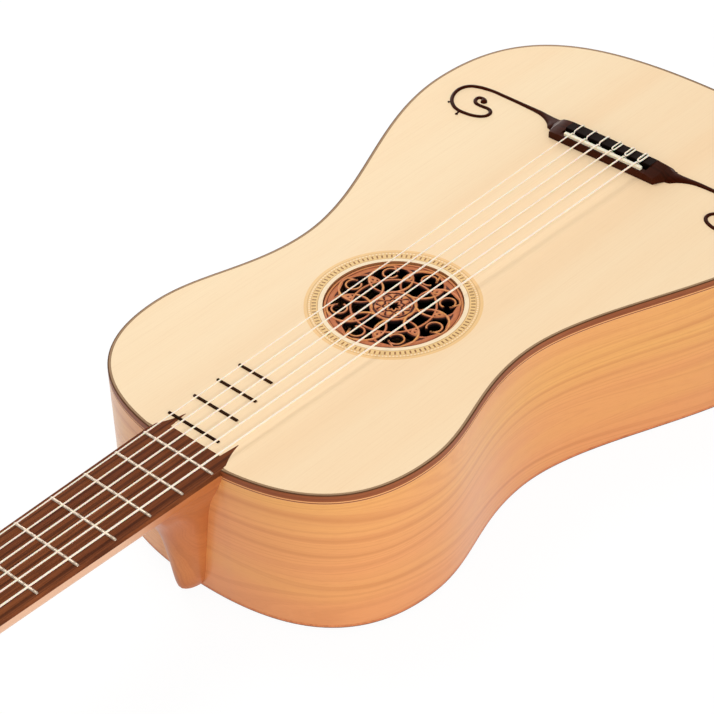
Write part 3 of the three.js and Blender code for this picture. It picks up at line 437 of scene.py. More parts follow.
def plate(outline, low, high):
    count, triangles = len(outline), fill(outline)
    return {"points": [(x, y, z) for z in (low, high) for x, y in outline],
            "faces": triangles + raised(triangles, count) + band(0, count, count)}


def combine(*shapes):
    whole = {"points": [], "faces": [], "marks": []}
    for shape in shapes:
        whole["faces"] += raised(shape["faces"], len(whole["points"]))
        whole["points"] += shape["points"]
        whole["marks"] += shape["marks"]
    return whole


def bezier(pulls, share):
    a, b, c, d = (Vector(pull) for pull in pulls)
    rest = 1 - share
    point = a * rest ** 3 + 3 * b * rest ** 2 * share + 3 * c * rest * share ** 2 + d * share ** 3
    way = 3 * ((b - a) * rest ** 2 + 2 * (c - b) * rest * share + (d - c) * share ** 2)
    return point, way


def curve(points, steps):
    # A smooth line through all the points, Catmull and Rom's way
    points = [Vector(point) for point in points]
    ends = [2 * points[0] - points[1]] + points + [2 * points[-1] - points[-2]]
    line = []
    for a, b, c, d in zip(ends, ends[1:], ends[2:], ends[3:]):
        for t in (step / steps for step in range(steps)):
            line.append(0.5 * (2 * b + (c - a) * t + (2 * a - 5 * b + 4 * c - d) * t * t
                               + (3 * b - a - 3 * c + d) * t ** 3))
    return line + [points[-1]]


def softCorners(points, radius, steps):
    # The same path with each corner rounded
    points = [Vector(point) for point in points]
    path = [points[0]]
    for before, corner, after in zip(points, points[1:], points[2:]):
        reach = min(radius, (before - corner).length / 2, (after - corner).length / 2)
        start = corner + (before - corner).normalized() * reach
        end = corner + (after - corner).normalized() * reach
        for t in (step / steps for step in range(steps + 1)):
            path.append(start.lerp(corner, t).lerp(corner.lerp(end, t), t))
    return path + [points[-1]]


def tubeRings(points, radius, sides):
    ways = [(after - before).normalized()
            for before, after in zip(points[:1] + points, points[1:] + points[-1:])]
    side = ways[0].orthogonal().normalized()
    rings = []
    for point, way in zip(points, ways):
        side = (side - way * side.dot(way)).normalized()
        other = way.cross(side)
        rings.append([point + radius * (cos(angle) * side + sin(angle) * other) for angle in angles(sides)])
    return rings


def smoothTable(places, values):
    # A line through a table of values that never overshoots them
    slopes = [(b - a) / (q - p) for a, b, p, q in zip(values, values[1:], places, places[1:])]
    leans = [2 * a * b / (a + b) if a * b > 0 else 0 for a, b in zip(slopes, slopes[1:])]
    leans = slopes[:1] + leans + slopes[-1:]

    def at(place):
        number = max(0, min(len(slopes) - 1, sum(1 for known in places[1:] if known < place)))
        span = places[number + 1] - places[number]
        t = max(0.0, (place - places[number]) / span)
        a, b = values[number], values[number + 1]
        u, v = leans[number] * span, leans[number + 1] * span
        if t > 1:
            return b + v * (t - 1)
        return a + u * t + (3 * (b - a) - 2 * u - v) * t ** 2 + (u + v - 2 * (b - a)) * t ** 3
    return at


def grow(piece, sizes, build):
    # Runs a geometry tree on the piece's own mesh and keeps the result as a plain mesh
    group = bpy.data.node_groups.new(piece.name, "GeometryNodeTree")
    for way in ("INPUT", "OUTPUT"):
        group.interface.new_socket("Geometry", in_out=way, socket_type="NodeSocketGeometry")
    places = {}
    for label, value in sizes.items():
        kind = "NodeSocketInt" if isinstance(value, int) else "NodeSocketFloat"
        places[label] = group.interface.new_socket(label, in_out="INPUT", socket_type=kind).identifier
    tree = Tree(group)
    entry = group.nodes.new("NodeGroupInput")
    inputs = {label: Signal(tree, entry.outputs[label]) for label in ["Geometry", *sizes]}
    made = tree.node("GeometryNodeRealizeInstances", {}, [build(tree, inputs)])
    made = tree.node("GeometryNodeSetMaterial", {}, {"Geometry": made, "Material": piece.data.materials[0]})
    tree.node("NodeGroupOutput", {}, [made])
    modifier = piece.modifiers.new("shape", "NODES")
    modifier.node_group = group
    for label, value in sizes.items():
        modifier[places[label]] = value
    shaped = piece.evaluated_get(bpy.context.evaluated_depsgraph_get())
    mesh = bpy.data.meshes.new_from_object(shaped)
    piece.modifiers.clear()
    piece.data = mesh


# Body

body = {
    "upperBout": 215.8, "upperFromTop": 83.1,
    "waist": 175.0, "waistFromTop": 184.6,
    "lowerBout": 281.0, "lowerFromTop": 371.9,
    # How far each stretch is pulled at its two ends, as shares of its width or length
    "shoulderPulls": (0.733, 0.609), "upperSidePulls": (0.337, 0.422),
    "lowerSidePulls": (0.312, 0.354), "tailPulls": (0.745, 0.676),
    "stops": 40,
    "back": 2.5, "topPlate": 2.5, "rib": 2.0,
    "backEdge": [(0.7, 0.0), (0.2, 0.25), (0.0, 0.9)],      # inset and height of its rounded edge
    "riseFrom": 150.0, "rise": 2.2,  # the back comes up a little towards the neck
    "overlap": 0.03,                 # the soundboard runs this far under what is let into it
}
binding = {
    # Distance in from the side and down from the top, and the finish of the face that follows
    "section": [(2.1, 6.0, 0), (2.1, 0.0, 1), (0.75, 0.0, 2), (0.2, 0.08, 2), (0.04, 0.4, 0),
                (0.0, 1.0, 0), (0.0, 4.3, 3), (0.0, 5.0, 4), (0.0, 5.7, 3), (0.0, 6.0, 0)],
}
# The photo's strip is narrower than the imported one
bindingWidth, bindingHeight, _ = binding["section"][0]
board = {
    "nutWidth": 45.0, "bodyWidth": 56.0, "thickness": 3.0, "edge": 0.25,
    # Half width and distance into the body
    "shoulder": (27.0, 6.6), "tip": (20.6, 22.6), "inner": (19.0, 10.0),
    "tipWidth": 0.4, "hollow": 1.6, "steps": 10,
}
boardUnder = top - board["thickness"]


def halfOutline():
    # Points of the treble side from the neck to the tail, each with the way that leads out of the body
    upper, waist, lower = body["upperBout"] / 2, body["waist"] / 2, body["lowerBout"] / 2
    atUpper, atWaist, atLower = body["upperFromTop"], body["waistFromTop"], body["lowerFromTop"]
    atTail = guitar["bodyLength"]
    one, two = body["shoulderPulls"]
    three, four = body["upperSidePulls"]
    five, six = body["lowerSidePulls"]
    seven, eight = body["tailPulls"]
    spans = [
        [(0, 0), (one * upper, 0), (upper, (1 - two) * atUpper), (upper, atUpper)],
        [(upper, atUpper), (upper, atUpper + three * (atWaist - atUpper)),
         (waist, atWaist - four * (atWaist - atUpper)), (waist, atWaist)],
        [(waist, atWaist), (waist, atWaist + five * (atLower - atWaist)),
         (lower, atLower - six * (atLower - atWaist)), (lower, atLower)],
        [(lower, atLower), (lower, atLower + seven * (atTail - atLower)), (eight * lower, atTail), (0, atTail)],
    ]
    stops = []
    for number, span in enumerate(spans):
        pulls = [(x, bodyTop - fromTop) for x, fromTop in span]
        for step in range(0 if number == 0 else 1, body["stops"] + 1):
            point, way = bezier(pulls, step / body["stops"])
            way.normalize()
            stops.append((point, Vector((-way.y, way.x))))
    return stops


treble = halfOutline()


def inset(stop, distance):
    return stop[0] - stop[1] * distance


def boardEdge(y):
    if y > bodyTop:
        share = (nutY - y) / (nutY - bodyTop)
        return (board["nutWidth"] * (1 - share) + board["bodyWidth"] * share) / 2
    share = (bodyTop - y) / board["shoulder"][1]
    return board["bodyWidth"] / 2 * (1 - share) + board["shoulder"][0] * share


def boardPoints(spread):
    # Half of the fingerboard's edge, from the body's edge down to the middle of its end
    shoulder = Vector((board["shoulder"][0] + spread, bodyTop - board["shoulder"][1]))
    tip = Vector((board["tip"][0] + spread, bodyTop - board["tip"][1] - spread))
    hollow = (shoulder + tip) / 2 - Vector((board["hollow"], 0))
    pulls = (shoulder, (shoulder + 2 * hollow) / 3, (tip + 2 * hollow) / 3, tip)
    side = [tuple(bezier(pulls, step / board["steps"])[0]) for step in range(board["steps"] + 1)]
    return side + [(tip.x - 2 * spread - board["tipWidth"], tip.y),
                   (board["inner"][0] - spread, bodyTop - board["inner"][1] - spread)]


def riseAt(y):
    return body["rise"] * max(0.0, (y - body["riseFrom"]) / (bodyTop - body["riseFrom"]))


def makeBack():
    # Bands across the body, so that the back may rise without folds
    levels = body["backEdge"] + [(0.0, body["back"]), (body["rib"], body["back"])]
    points, faces, marks = [], [], []
    for stop in treble:
        for distance, height in levels:
            x, y = inset(stop, distance)
            points += [(x, y, height + riseAt(y)), (-x, y, height + riseAt(y))]
    width = 2 * len(levels)
    # Each strip of faces lies between two columns of points, and has a finish
    strips = [(0, 1, 0), (width - 2, width - 1, 2)]
    strips += [(column, column + 2, 1 if column < 4 else 3) for column in range(width - 2)]
    for here in range(0, (len(treble) - 1) * width, width):
        ahead = here + width
        faces += [(here + one, here + other, ahead + other, ahead + one) for one, other, _ in strips]
        marks += [mark for _, _, mark in strips]
    shape = {"points": points, "faces": faces, "marks": marks}
    piece = meshPiece("back_plate", shape, [backWood, edgeShade, backInsideShade, backEdge], 60)
    settle(piece, ["back"])


def makeRib(name, side, finish):
    # The rib reaches up to the fingerboard at the neck, and to the binding beside it
    low, under = body["back"], top - bindingHeight
    corner = next(number for number, (point, _) in enumerate(treble) if point.x > boardEdge(bodyTop) + 0.1)
    rings = []
    for number, stop in enumerate(treble):
        high = boardUnder if number < corner else under
        outer, inner = inset(stop, 0), inset(stop, body["rib"])
        ring = [(outer, high), (outer, low + riseAt(outer.y)), (inner, low + riseAt(inner.y)), (inner, high)]
        rings.append([(side * point.x, point.y, z) for point, z in ring])
        if number == corner - 1:
            rings.append([(x, y, under if z == high else z) for x, y, z in rings[-1]])
    shape = skin(rings)
    # The wood's figure reads the length along the rib and the depth under the soundboard
    spots = [shape["points"][corner] for face in shape["faces"] for corner in face]
    shape["uvs"] = [(along, top - spot[2]) for (along, _), spot in zip(shape["uvs"], spots)]
    settle(meshPiece(name, shape, [finish], mapped=True), [name])


def makeBinding():
    # A strip with a grey top that is a painted reflection, a dark corner, and pale and red lines low in its side
    edge = boardEdge(bodyTop)
    first = next(number for number, (point, _) in enumerate(treble) if point.x > edge + 0.5)
    before, after = treble[first - 1], treble[first]
    share = (edge - before[0].x) / (after[0].x - before[0].x)
    start = (before[0].lerp(after[0], share), before[1].lerp(after[1], share).normalized())
    half = []
    for number, stop in enumerate([start] + treble[first:]):
        ring = []
        for distance, drop, _ in binding["section"]:
            x, y = inset(stop, distance)
            ring.append((boardEdge(y) + 0.02 if number == 0 else x, y, top - drop))
        half.append(ring)
    shape = skin(half + [mirrored(ring) for ring in half[-2::-1]], marks=[mark for _, _, mark in binding["section"]])
    piece = meshPiece("binding", shape, [bindingWood, bindingTopSheen, darkLine, lightLine, redLine], 50, mapped=True)
    settle(piece, ["top_binding"])


backWood = woodFinish("back_wood", ribLook, toneTilt=0, space="Object", stretch=(1.0, 0.09, 1.0),
                      shift=(0.0, 1.0, 1.0), across=0, rings=60.0, joint=0.5 * mm)
# Painted shade: the back's inner face is nearly black, for the shade inside the box
backInsideShade = woodFinish("back_inside_painted_shade", neckLook, (50, 30, 20), (42, 24, 16), (30, 18, 12), coat=0.0)
# The back's side band is darker than its face: partly a darker wood, partly painted shade at the foot of the rib
backEdge = woodFinish("back_edge", neckLook, (224, 140, 86), (214, 128, 78), coat=0.2)
# Painted shade: the back's rounded lower edge, where it meets the floor, is painted dark
edgeShade = woodFinish("edge_painted_shade", ribLook, (124, 78, 56), (108, 64, 46), (84, 50, 36),
                      toneTilt=0, space="Object", stretch=(1.0, 1.0, 1.0), coat=0.0)
# Painted light: the treble rib is a paler copy of the rib wood, as if more strongly lit
litTrebleRibWood = woodFinish("rib_wood_treble_painted_light", ribLook, (241, 184, 112), (232, 156, 97), shift=(0.9, 0.25, 0.0))
bassRibWood = woodFinish("rib_wood_bass", ribLook)
bindingWood = woodFinish("binding_wood", bindingLook)
# Painted reflection: the binding's top face is a greyer copy of its wood, for the sheen on it
bindingTopSheen = woodFinish("binding_top_painted_reflection", bindingLook, (178, 146, 112), (160, 128, 96), (126, 96, 70),
                        specular=0.05, coat=0.0)
darkLine = woodFinish("dark_line", bindingLook, (106, 68, 42), (90, 56, 34), (60, 36, 22),
                      specular=0.05, coat=0.0)
lightLine = woodFinish("light_line", bindingLook, (240, 178, 118), (232, 166, 106), (206, 138, 82),
                       lineShare=0.2, fibreShare=0.1)
redLine = woodFinish("red_line", bindingLook, (152, 86, 54), (136, 74, 44), (106, 52, 30))
makeBack()
makeRib("rib_treble", 1, litTrebleRibWood)
makeRib("rib_bass", -1, bassRibWood)
makeBinding()
print("box built")


# Soundboard and the inlay round its hole

inlay = {
    "fromTop": 170.2, "hole": 41.1, "outer": 52.0, "depth": 1.0, "sides": 192,
    # Inner and outer radius, and the finish
    "rings": [(41.1, 43.7, 0), (43.7, 44.2, 2), (44.2, 47.7, 1), (47.7, 48.1, 2), (48.1, 49.7, 3),
              (49.7, 50.1, 2), (50.1, 52.0, 3)],
    "ticks": 100, "tickFrom": 44.9, "tickTo": 47.4, "tickWidth": 1.0, "tickTaper": 0.94,
    "dots": 150, "dotAt": 48.8, "dotSize": 0.5, "dotSides": 8,
    "sunk": -0.3, "proud": 0.015,      # the ticks' and dots' lower and upper face
}
roseY = bodyTop - inlay["fromTop"]


def turned(section, sides, marks=None):
    # A section turned round the hole's centre
    return skin([[(radius * cos(angle), roseY + radius * sin(angle), z) for radius, z in section]
                 for angle in angles(sides)], True, marks)


def spun(tree, inputs):
    # Copies of a shape, turned round the upright through one centre
    centre = tree.node("ShaderNodeCombineXYZ", {}, {"Y": inputs["Centre Y"], "Z": inputs["Height"]})
    places = tree.node("GeometryNodePoints", {}, {"Count": inputs["Copies"], "Position": centre})
    turn = tree.node("GeometryNodeInputIndex") * 2 * pi / inputs["Copies"]
    turns = tree.node("ShaderNodeCombineXYZ", {}, {"Z": turn})
    return tree.node("GeometryNodeInstanceOnPoints", {}, {
        "Points": places, "Instance": inputs["Geometry"], "Rotation": turns})


def repeat(piece, copies, height):
    grow(piece, {"Copies": copies, "Centre Y": roseY * mm, "Height": height * mm}, spun)


def makeSoundboard():
    # The hole is wider above, where a ledge carries the inlay
    over, sides = body["overlap"], inlay["sides"]
    notch = boardPoints(over)
    rim = [tuple(inset(stop, bindingWidth - over)) for stop in treble]
    first = next(number for number, (x, y) in enumerate(rim) if x > boardEdge(y) + over)
    half = [(boardEdge(rim[first][1]) + over, rim[first][1])] + rim[first:]
    loop = half + mirrored(half[-2::-1]) + mirrored(notch) + notch[::-1]
    wide, narrow = (circle(inlay[key], sides, (0, roseY)) for key in ("outer", "hole"))
    layers = ((loop + wide, top), (loop + narrow, top - body["topPlate"]), (wide + narrow, top - inlay["depth"]))
    size, flat = len(loop), len(loop) + sides
    faces = fill(loop, wide) + raised(fill(loop, narrow), flat) + band(0, flat, size)
    marks = [0] * len(faces)
    # Down from the face to the ledge, across it, and down to the underside; this last wall is painted dark as shade
    ledge = 2 * flat
    for low, high, mark in ((size, ledge, 0), (ledge, ledge + sides, 0), (ledge + sides, flat + size, 1)):
        faces += band(low, high, sides)
        marks += [mark] * sides
    shape = {"points": [(x, y, z) for line, z in layers for x, y in line], "faces": faces, "marks": marks}
    settle(meshPiece("top_plate", shape, [spruce, holeWallShade]), ["soundboard"])


def makeInlay():
    low = top - inlay["depth"]
    shapes = []
    for inner, outer, mark in inlay["rings"]:
        # The hole's own wall takes the painted shade
        walls = [4 if inner == inlay["hole"] else mark] + [mark] * 3
        shapes.append(turned([(inner, low), (inner, top), (outer, top), (outer, low)], inlay["sides"], walls))
    piece = meshPiece("inlay_rings", combine(*shapes), [ringPale, ringGold, ringLine, ringTan, holeWallShade])
    settle(piece, ["rosette_ring"])
    start, end, half = inlay["tickFrom"], inlay["tickTo"], inlay["tickWidth"] / 2
    narrow = half * inlay["tickTaper"]
    tick = [(start, -narrow), (end, -half), (end, half), (start, narrow)]
    dot = circle(inlay["dotSize"], inlay["dotSides"], (inlay["dotAt"], 0))
    for kind, outline, finish in (("ticks", tick, ringBrown), ("dots", dot, ringPale)):
        piece = meshPiece("inlay_" + kind, plate(outline, inlay["sunk"], inlay["proud"]), [finish])
        repeat(piece, inlay[kind], top)
        settle(piece, ["rosette_ring"])


ringPale = woodFinish("ring_pale", spruceLook, (252, 234, 200), (250, 226, 188))
ringTan = woodFinish("ring_tan", spruceLook, (248, 208, 150), (242, 198, 136), lineShare=0.2)
ringGold = woodFinish("ring_gold", spruceLook, (242, 206, 144), (238, 198, 132))
ringBrown = woodFinish("ring_brown", spruceLook, (168, 118, 70), (148, 98, 56), (110, 70, 40))
ringLine = woodFinish("ring_line", spruceLook, (222, 180, 126), (210, 166, 112), (180, 130, 84))
# Painted shade: the wall of the hole is a darker copy of the spruce, as if in shadow
holeWallShade = woodFinish("hole_wall_painted_shade", spruceLook, (176, 122, 78), (156, 102, 62), (116, 72, 42))
makeSoundboard()
makeInlay()
print("soundboard and inlay built")


# Rose

rose = {
    "raised": 1.3,      # how far under the soundboard's face the carving stands, up in the hole
    "folds": 8, "thickness": 2.6, "sides": 96,
    "petalCentre": 25.6, "petalRadius": 13.0, "hoop": 25.0, "hoopDrop": 0.1,
    "strap": 1.9, "curlStrap": 0.9, "hoopStrap": 1.05,      # a width, and two shares of it
    # Across a strap, as a share of its half width, and up
    "strapSection": [(-0.8, -2.6), (-1.0, -0.8), (-0.7, -0.6), (-0.56, -0.06), (-0.3, 0.0), (0.3, 0.0),
                     (0.56, -0.06), (0.7, -0.6), (1.0, -0.8), (0.8, -2.6)],
    # A petal passes over and under the others: degrees round it, and up or down
    "weave": 0.22, "weaveKeys": [(-152.6, 1), (-72.4, -1), (72.4, 1), (152.6, -1), (207.4, 1)],
    "curlCentre": 31.4, "curlRadius": 4.6, "curlFrom": -81.0, "curlSweep": 315.0, "curlSteps": 28,
    "leaf": (24.4, 31.6, 2.5), "leafSteps": 12,      # inner end, outer end, half width
    "webCentre": 34.4, "webSteps": 8,
    # Carved in steps: the share of the outline that is left, and its height
    "leafLevels": [(1, -0.55), (0.86, -0.12), (0.6, 0.0), (0.3, -0.12), (0.14, -0.5), (0.03, -0.5)],
    "webLevels": [(1, -0.5), (0.84, -0.45), (0.78, -0.2), (0.5, -0.12), (0.3, -0.2), (0.22, -0.5), (0.02, -0.5)],
    "rim": (39.0, 40.95, 45.1), "rimDrop": 0.02,      # inner edge, hole's wall, outer edge
    "disc": 14.2, "star": 4.0, "discSides": 256,
    # Share of the way from the star to the disc's edge, and height
    "discLevels": [(0.0, -2.6), (0.0, -0.6), (0.05, -0.15), (0.1, -0.02), (0.16, -0.08), (0.2, -0.6),
                   (0.27, -0.6), (0.31, -0.12), (0.36, 0), (0.42, 0), (0.48, 0), (0.54, 0), (0.6, 0), (0.66, 0),
                   (0.7, -0.1), (0.74, -0.6), (0.82, -0.6), (0.86, -0.08), (0.93, 0.0), (1.0, -0.5), (1.0, -2.6)],
    "lobes": (0.33, 0.68), "lobeCut": 0.7,      # from and to which share, and how deep
    # The flank, groove and wall colours are painted shade, darker the deeper the wood lies
    "crest": (226, 148, 102), "crestGold": (230, 162, 90), "flank": (198, 116, 74),
    "grain": (164, 88, 54), "groove": (74, 32, 20), "wall": (20, 8, 6),
}
roseTop = top - rose["raised"]


def roseFinish():
    # Fresh wood on the crests, with painted shade, darker the deeper it lies, on the flanks, in the grooves and on the
    # cut walls
    finish = Finish("rose_wood", {"Specular IOR Level": 0.2, "Coat Weight": 0.0})
    where = finish.place()
    depth = roseTop - finish.axis(where, 2) / mm
    grain = finish.cloud(finish.place("Object", (1.0, 0.15, 1.0)), 900.0, 3, 0.6)
    patch = finish.cloud(where, 130.0).between(0.35, 0.65)
    colour = finish.blend(patch, paint(*rose["crestGold"]), paint(*rose["crest"]))
    for mask, shade in ((depth.between(-0.1, 0.2), "flank"), (grain.between(0.45, 0.75) * 0.4, "grain"),
                        (depth.between(0.16, 0.42), "groove"), (depth.between(0.7, 1.1), "wall")):
        colour = finish.blend(mask, colour, paint(*rose[shade]))
    finish.give("Base Color", colour)
    finish.give("Roughness", grain * 0.2 + 0.5)
    finish.relief(grain, 0.15, 0.2)
    return finish


def ribbon(path, closed, width):
    # A carved strap along a line; each point carries its own height
    befores = (path[-1:] if closed else path[:1]) + path[:-1]
    afters = path[1:] + (path[:1] if closed else path[-1:])
    rings = []
    for (x, y, lift), before, after in zip(path, befores, afters):
        way = Vector((after[0] - before[0], after[1] - before[1])).normalized() * width / 2
        rings.append([(x - way.y * across, y + way.x * across, height + (lift if height > -1 else 0))
                      for across, height in rose["strapSection"]])
    return skin(rings, closed)


def petalShape():
    def liftAt(degrees):
        for (start, low), (end, high) in zip(rose["weaveKeys"], rose["weaveKeys"][1:]):
            if start <= degrees <= end:
                share = (degrees - start) / (end - start)
                return rose["weave"] * (low + (high - low) * (0.5 - 0.5 * cos(pi * share)))

    path = []
    for side in range(rose["sides"]):
        degrees = rose["weaveKeys"][0][0] + 360 * side / rose["sides"]
        path.append((rose["petalCentre"] + rose["petalRadius"] * cos(radians(degrees)),
                     rose["petalRadius"] * sin(radians(degrees)), liftAt(degrees)))
    return ribbon(path, True, rose["strap"])


def curlShape():
    radius = rose["curlRadius"]
    path = [(rose["petalCentre"] + rose["petalRadius"], -radius / 2, 0)]
    for step in range(rose["curlSteps"] + 1):
        angle = radians(rose["curlFrom"] + rose["curlSweep"] * step / rose["curlSteps"])
        path.append((rose["curlCentre"] + radius * cos(angle), radius * sin(angle), 0))
    return ribbon(path, False, rose["strap"] * rose["curlStrap"])


def carved(outline, centreX, levels, angle):
    # A solid over an outline, carved in steps towards its centre, then turned round the rose's
    rings = []
    for share, height in [(1, -rose["thickness"])] + levels:
        ring = [(centreX + (x - centreX) * share, y * share) for x, y in outline]
        rings.append([(x * cos(angle) - y * sin(angle), x * sin(angle) + y * cos(angle), height) for x, y in ring])
    return skin(rings)


def leafShape(half):
    inner, outer, width = rose["leaf"]
    shares = [step / rose["leafSteps"] for step in range(rose["leafSteps"] + 1)]
    line = [(inner + (outer - inner) * share, width * sin(pi * share) ** 0.8) for share in shares]
    return carved(line + [(x, -y) for x, y in line[-2:0:-1]], (inner + outer) / 2, rose["leafLevels"], half)


def webShape(half):
    # Fills the corner between two petals and the rim
    radius, steps, edge = rose["petalRadius"], rose["webSteps"], rose["rim"][0] + 1
    x, y = rose["petalCentre"] * cos(half), rose["petalCentre"] * sin(half)
    begin = -asin(y / radius)
    bends = [begin + (half - begin) * step / steps for step in range(steps + 1)]
    line = [(x + radius * cos(angle), y + radius * sin(angle)) for angle in bends]
    line += [(edge * cos(half * step / steps), edge * sin(half * step / steps)) for step in range(steps, 0, -1)]
    line += [(edge, 0)] + [(x, -y) for x, y in line[:0:-1]]
    return carved(line, rose["webCentre"], rose["webLevels"], half)


def discShape():
    # Star hole, inner ring, eight carved lobes and an edge ring
    fold = rose["discSides"] // rose["folds"]
    rings = []
    for step, angle in enumerate(angles(rose["discSides"])):
        star = rose["star"] * (0.5 + 0.5 * abs(step % fold * 2 / fold - 1))
        ring = []
        for share, height in rose["discLevels"]:
            radius = star + (rose["disc"] - star) * share
            if rose["lobes"][0] < share < rose["lobes"][1]:
                # Lobes and darts between the two ring grooves
                between = max(0.0, 1 - ((share - 0.51) / 0.2) ** 2)
                cut = exp(-((abs(sin(4 * angle)) - 0.3 - 0.55 * (share - 0.36) / 0.3) / 0.2) ** 2)
                height -= rose["lobeCut"] * cut * between ** 0.3
            ring.append((radius * cos(angle), roseY + radius * sin(angle), roseTop + height))
        rings.append(ring)
    return skin(rings, True)


def makeRose():
    half = pi / rose["folds"]
    petals = combine(petalShape(), curlShape(), leafShape(half), webShape(half))
    piece = meshPiece("rose_petals", petals, [roseWood], 50)
    repeat(piece, rose["folds"], roseTop)
    settle(piece, ["rose"])

    inner, wall, outer = rose["rim"]
    low, step = -rose["thickness"], top - body["topPlate"] - roseTop - 0.02      # the step is under the soundboard
    section = [(inner, low), (inner, -0.6), (inner + 0.3, -0.1), (inner + 0.6, 0.0), (wall - 0.6, 0.0),
               (wall - 0.2, -0.3), (wall, -0.6), (wall, step), (outer, step), (outer, low)]
    rim = turned([(radius, roseTop - rose["rimDrop"] + height) for radius, height in section], 2 * rose["sides"])
    line = [(x, y, 0) for x, y in circle(rose["hoop"], 2 * rose["sides"])]
    hoop = ribbon(line, True, rose["strap"] * rose["hoopStrap"])
    hoop["points"] = [(x, y + roseY, z + roseTop - rose["hoopDrop"]) for x, y, z in hoop["points"]]
    settle(meshPiece("rose_frame", combine(rim, hoop, discShape()), [roseWood], 50), ["rose"])


roseWood = roseFinish()
makeRose()
print("rose built")


# Neck, fingerboard and frets

neck = {
    "depthAtNut": 11.8, "depthAtBody": 13.8, "strip": 3.0,      # the strip is the upright part of the side
    "heelFloor": 5.3, "heelTipWidth": 6.8, "heelTipDepth": 11.5, "heelSweep": 62.0,
    # Shares of the heel's height, and of its width and depth there
    "heelHeights": (0, .04, .2, .4, .56, .68, .78, .86, .95),
    "heelWidths": (0, .07, .18, .3, .4, .49, .65, .83, .97),
    "heelDepths": (0, .02, .06, .12, .22, .38, .62, .9, 1),
    "around": 34, "alongHeel": 44, "alongShaft": 20, "gap": 0.02,
}
headY = nutY + 5.0
headTilt = radians(8)


def makeNeck():
    widthShare, depthShare = (smoothTable(neck["heelHeights"], neck[key]) for key in ("heelWidths", "heelDepths"))
    floor = neck["heelFloor"]

    def heelAt(z):
        # The heel's half width, and how far it reaches along the neck
        share = (z - floor) / (boardUnder - floor)
        return (neck["heelTipWidth"] + (board["bodyWidth"] / 2 - neck["heelTipWidth"]) * widthShare(share),
                neck["heelTipDepth"] + (neck["heelSweep"] - neck["heelTipDepth"]) * depthShare(share))

    def shaftDepth(y):
        share = (nutY - max(y, bodyTop)) / (nutY - bodyTop)
        return neck["depthAtNut"] + (neck["depthAtBody"] - neck["depthAtNut"]) * share

    def halfAt(y, z):
        edge = boardEdge(max(y, bodyTop))
        drop = (boardUnder - z - neck["strip"]) / (shaftDepth(y) - neck["strip"])
        shaft = edge if drop <= 0 else edge * sqrt(max(0, 1 - drop * drop))
        heel, sweep = heelAt(z)
        reach = (y - bodyTop) / sweep
        if reach > 0:
            heel = min(heel, edge) * sqrt(max(0, 1 - reach * reach))
        return max(shaft if drop < 1 else 0, heel if reach < 1 else 0)

    def lowAt(y):
        # Where the heel's sweep crosses this place, found by halving
        shaft = boardUnder - shaftDepth(y)
        if y - bodyTop >= neck["heelSweep"]:
            return shaft
        low, high = floor, boardUnder
        if heelAt(floor)[1] > y - bodyTop:
            return floor
        for _ in range(40):
            middle = (low + high) / 2
            if heelAt(middle)[1] > y - bodyTop:
                high = middle
            else:
                low = middle
        return min(shaft, high)

    places = [bodyTop + neck["heelSweep"] * (step / neck["alongHeel"]) ** 1.4 for step in range(neck["alongHeel"] + 1)]
    shaftStart, steps = places[-1], neck["alongShaft"]
    places += [shaftStart + (headY - shaftStart) * step / steps for step in range(1, steps + 1)]
    rings = []
    for number, y in enumerate(places):
        low, side = lowAt(y), []
        for step in range(neck["around"] + 1):
            z = boardUnder + (low - boardUnder) * sin(pi / 2 * step / neck["around"])
            side.append((max(halfAt(y, z), 0.02), z))
        ring = []
        for half, z in side + mirrored(side[::-1]):
            place = y
            if number == 0:
                # Against the ribs
                near = min(treble[:body["stops"]], key=lambda stop: abs(stop[0].x - abs(half)))
                place = near[0].y + neck["gap"]
            if number == len(places) - 1:
                # The scarf under the head
                place = headY + (z - boardUnder) * tan(headTilt)
            ring.append((half, place, z))
        rings.append(ring)
    settle(meshPiece("neck", skin(rings), [neckWood], 40), ["neck"])


def makeBoard():
    side = [(boardEdge(nutY), nutY), (boardEdge(bodyTop), bodyTop)] + boardPoints(0)
    piece = meshPiece("fingerboard", plate(side + mirrored(side[::-1]), boardUnder, top), [boardWood])
    softEdges(piece, board["edge"], 2, 50)
    settle(piece, ["fingerboard"])


fretLook = {
    "width": 2.0, "height": 0.9, "margin": 1.1, "nominal": 47.0, "steps": 10, "low": -0.5,
    "ends": [(0, 0.25), (0.25, 0.6), (0.8, 0.88), (1.6, 1.0)],      # distance from the end, share of the height
}


def fretRow(tree, inputs):
    # Frets where the string is shortened by a twelfth of an octave each time
    points = tree.node("GeometryNodePoints", {}, {"Count": inputs["Frets"]})
    y = inputs["String"] / 2 ** ((tree.node("GeometryNodeInputIndex") + 1) / 12)
    points = tree.node("GeometryNodeSetPosition", {}, {
        "Geometry": points, "Position": tree.node("ShaderNodeCombineXYZ", {}, {"Y": y, "Z": inputs["Height"]})})
    share = (inputs["String"] - y) / (inputs["String"] - inputs["Joint"])
    width = inputs["Narrow"] + (inputs["Wide"] - inputs["Narrow"]) * share
    scale = tree.node("ShaderNodeCombineXYZ", {}, {"X": width / inputs["Nominal"], "Y": 1.0, "Z": 1.0})
    return tree.node("GeometryNodeInstanceOnPoints", {}, {
        "Points": points, "Instance": inputs["Geometry"], "Scale": scale})


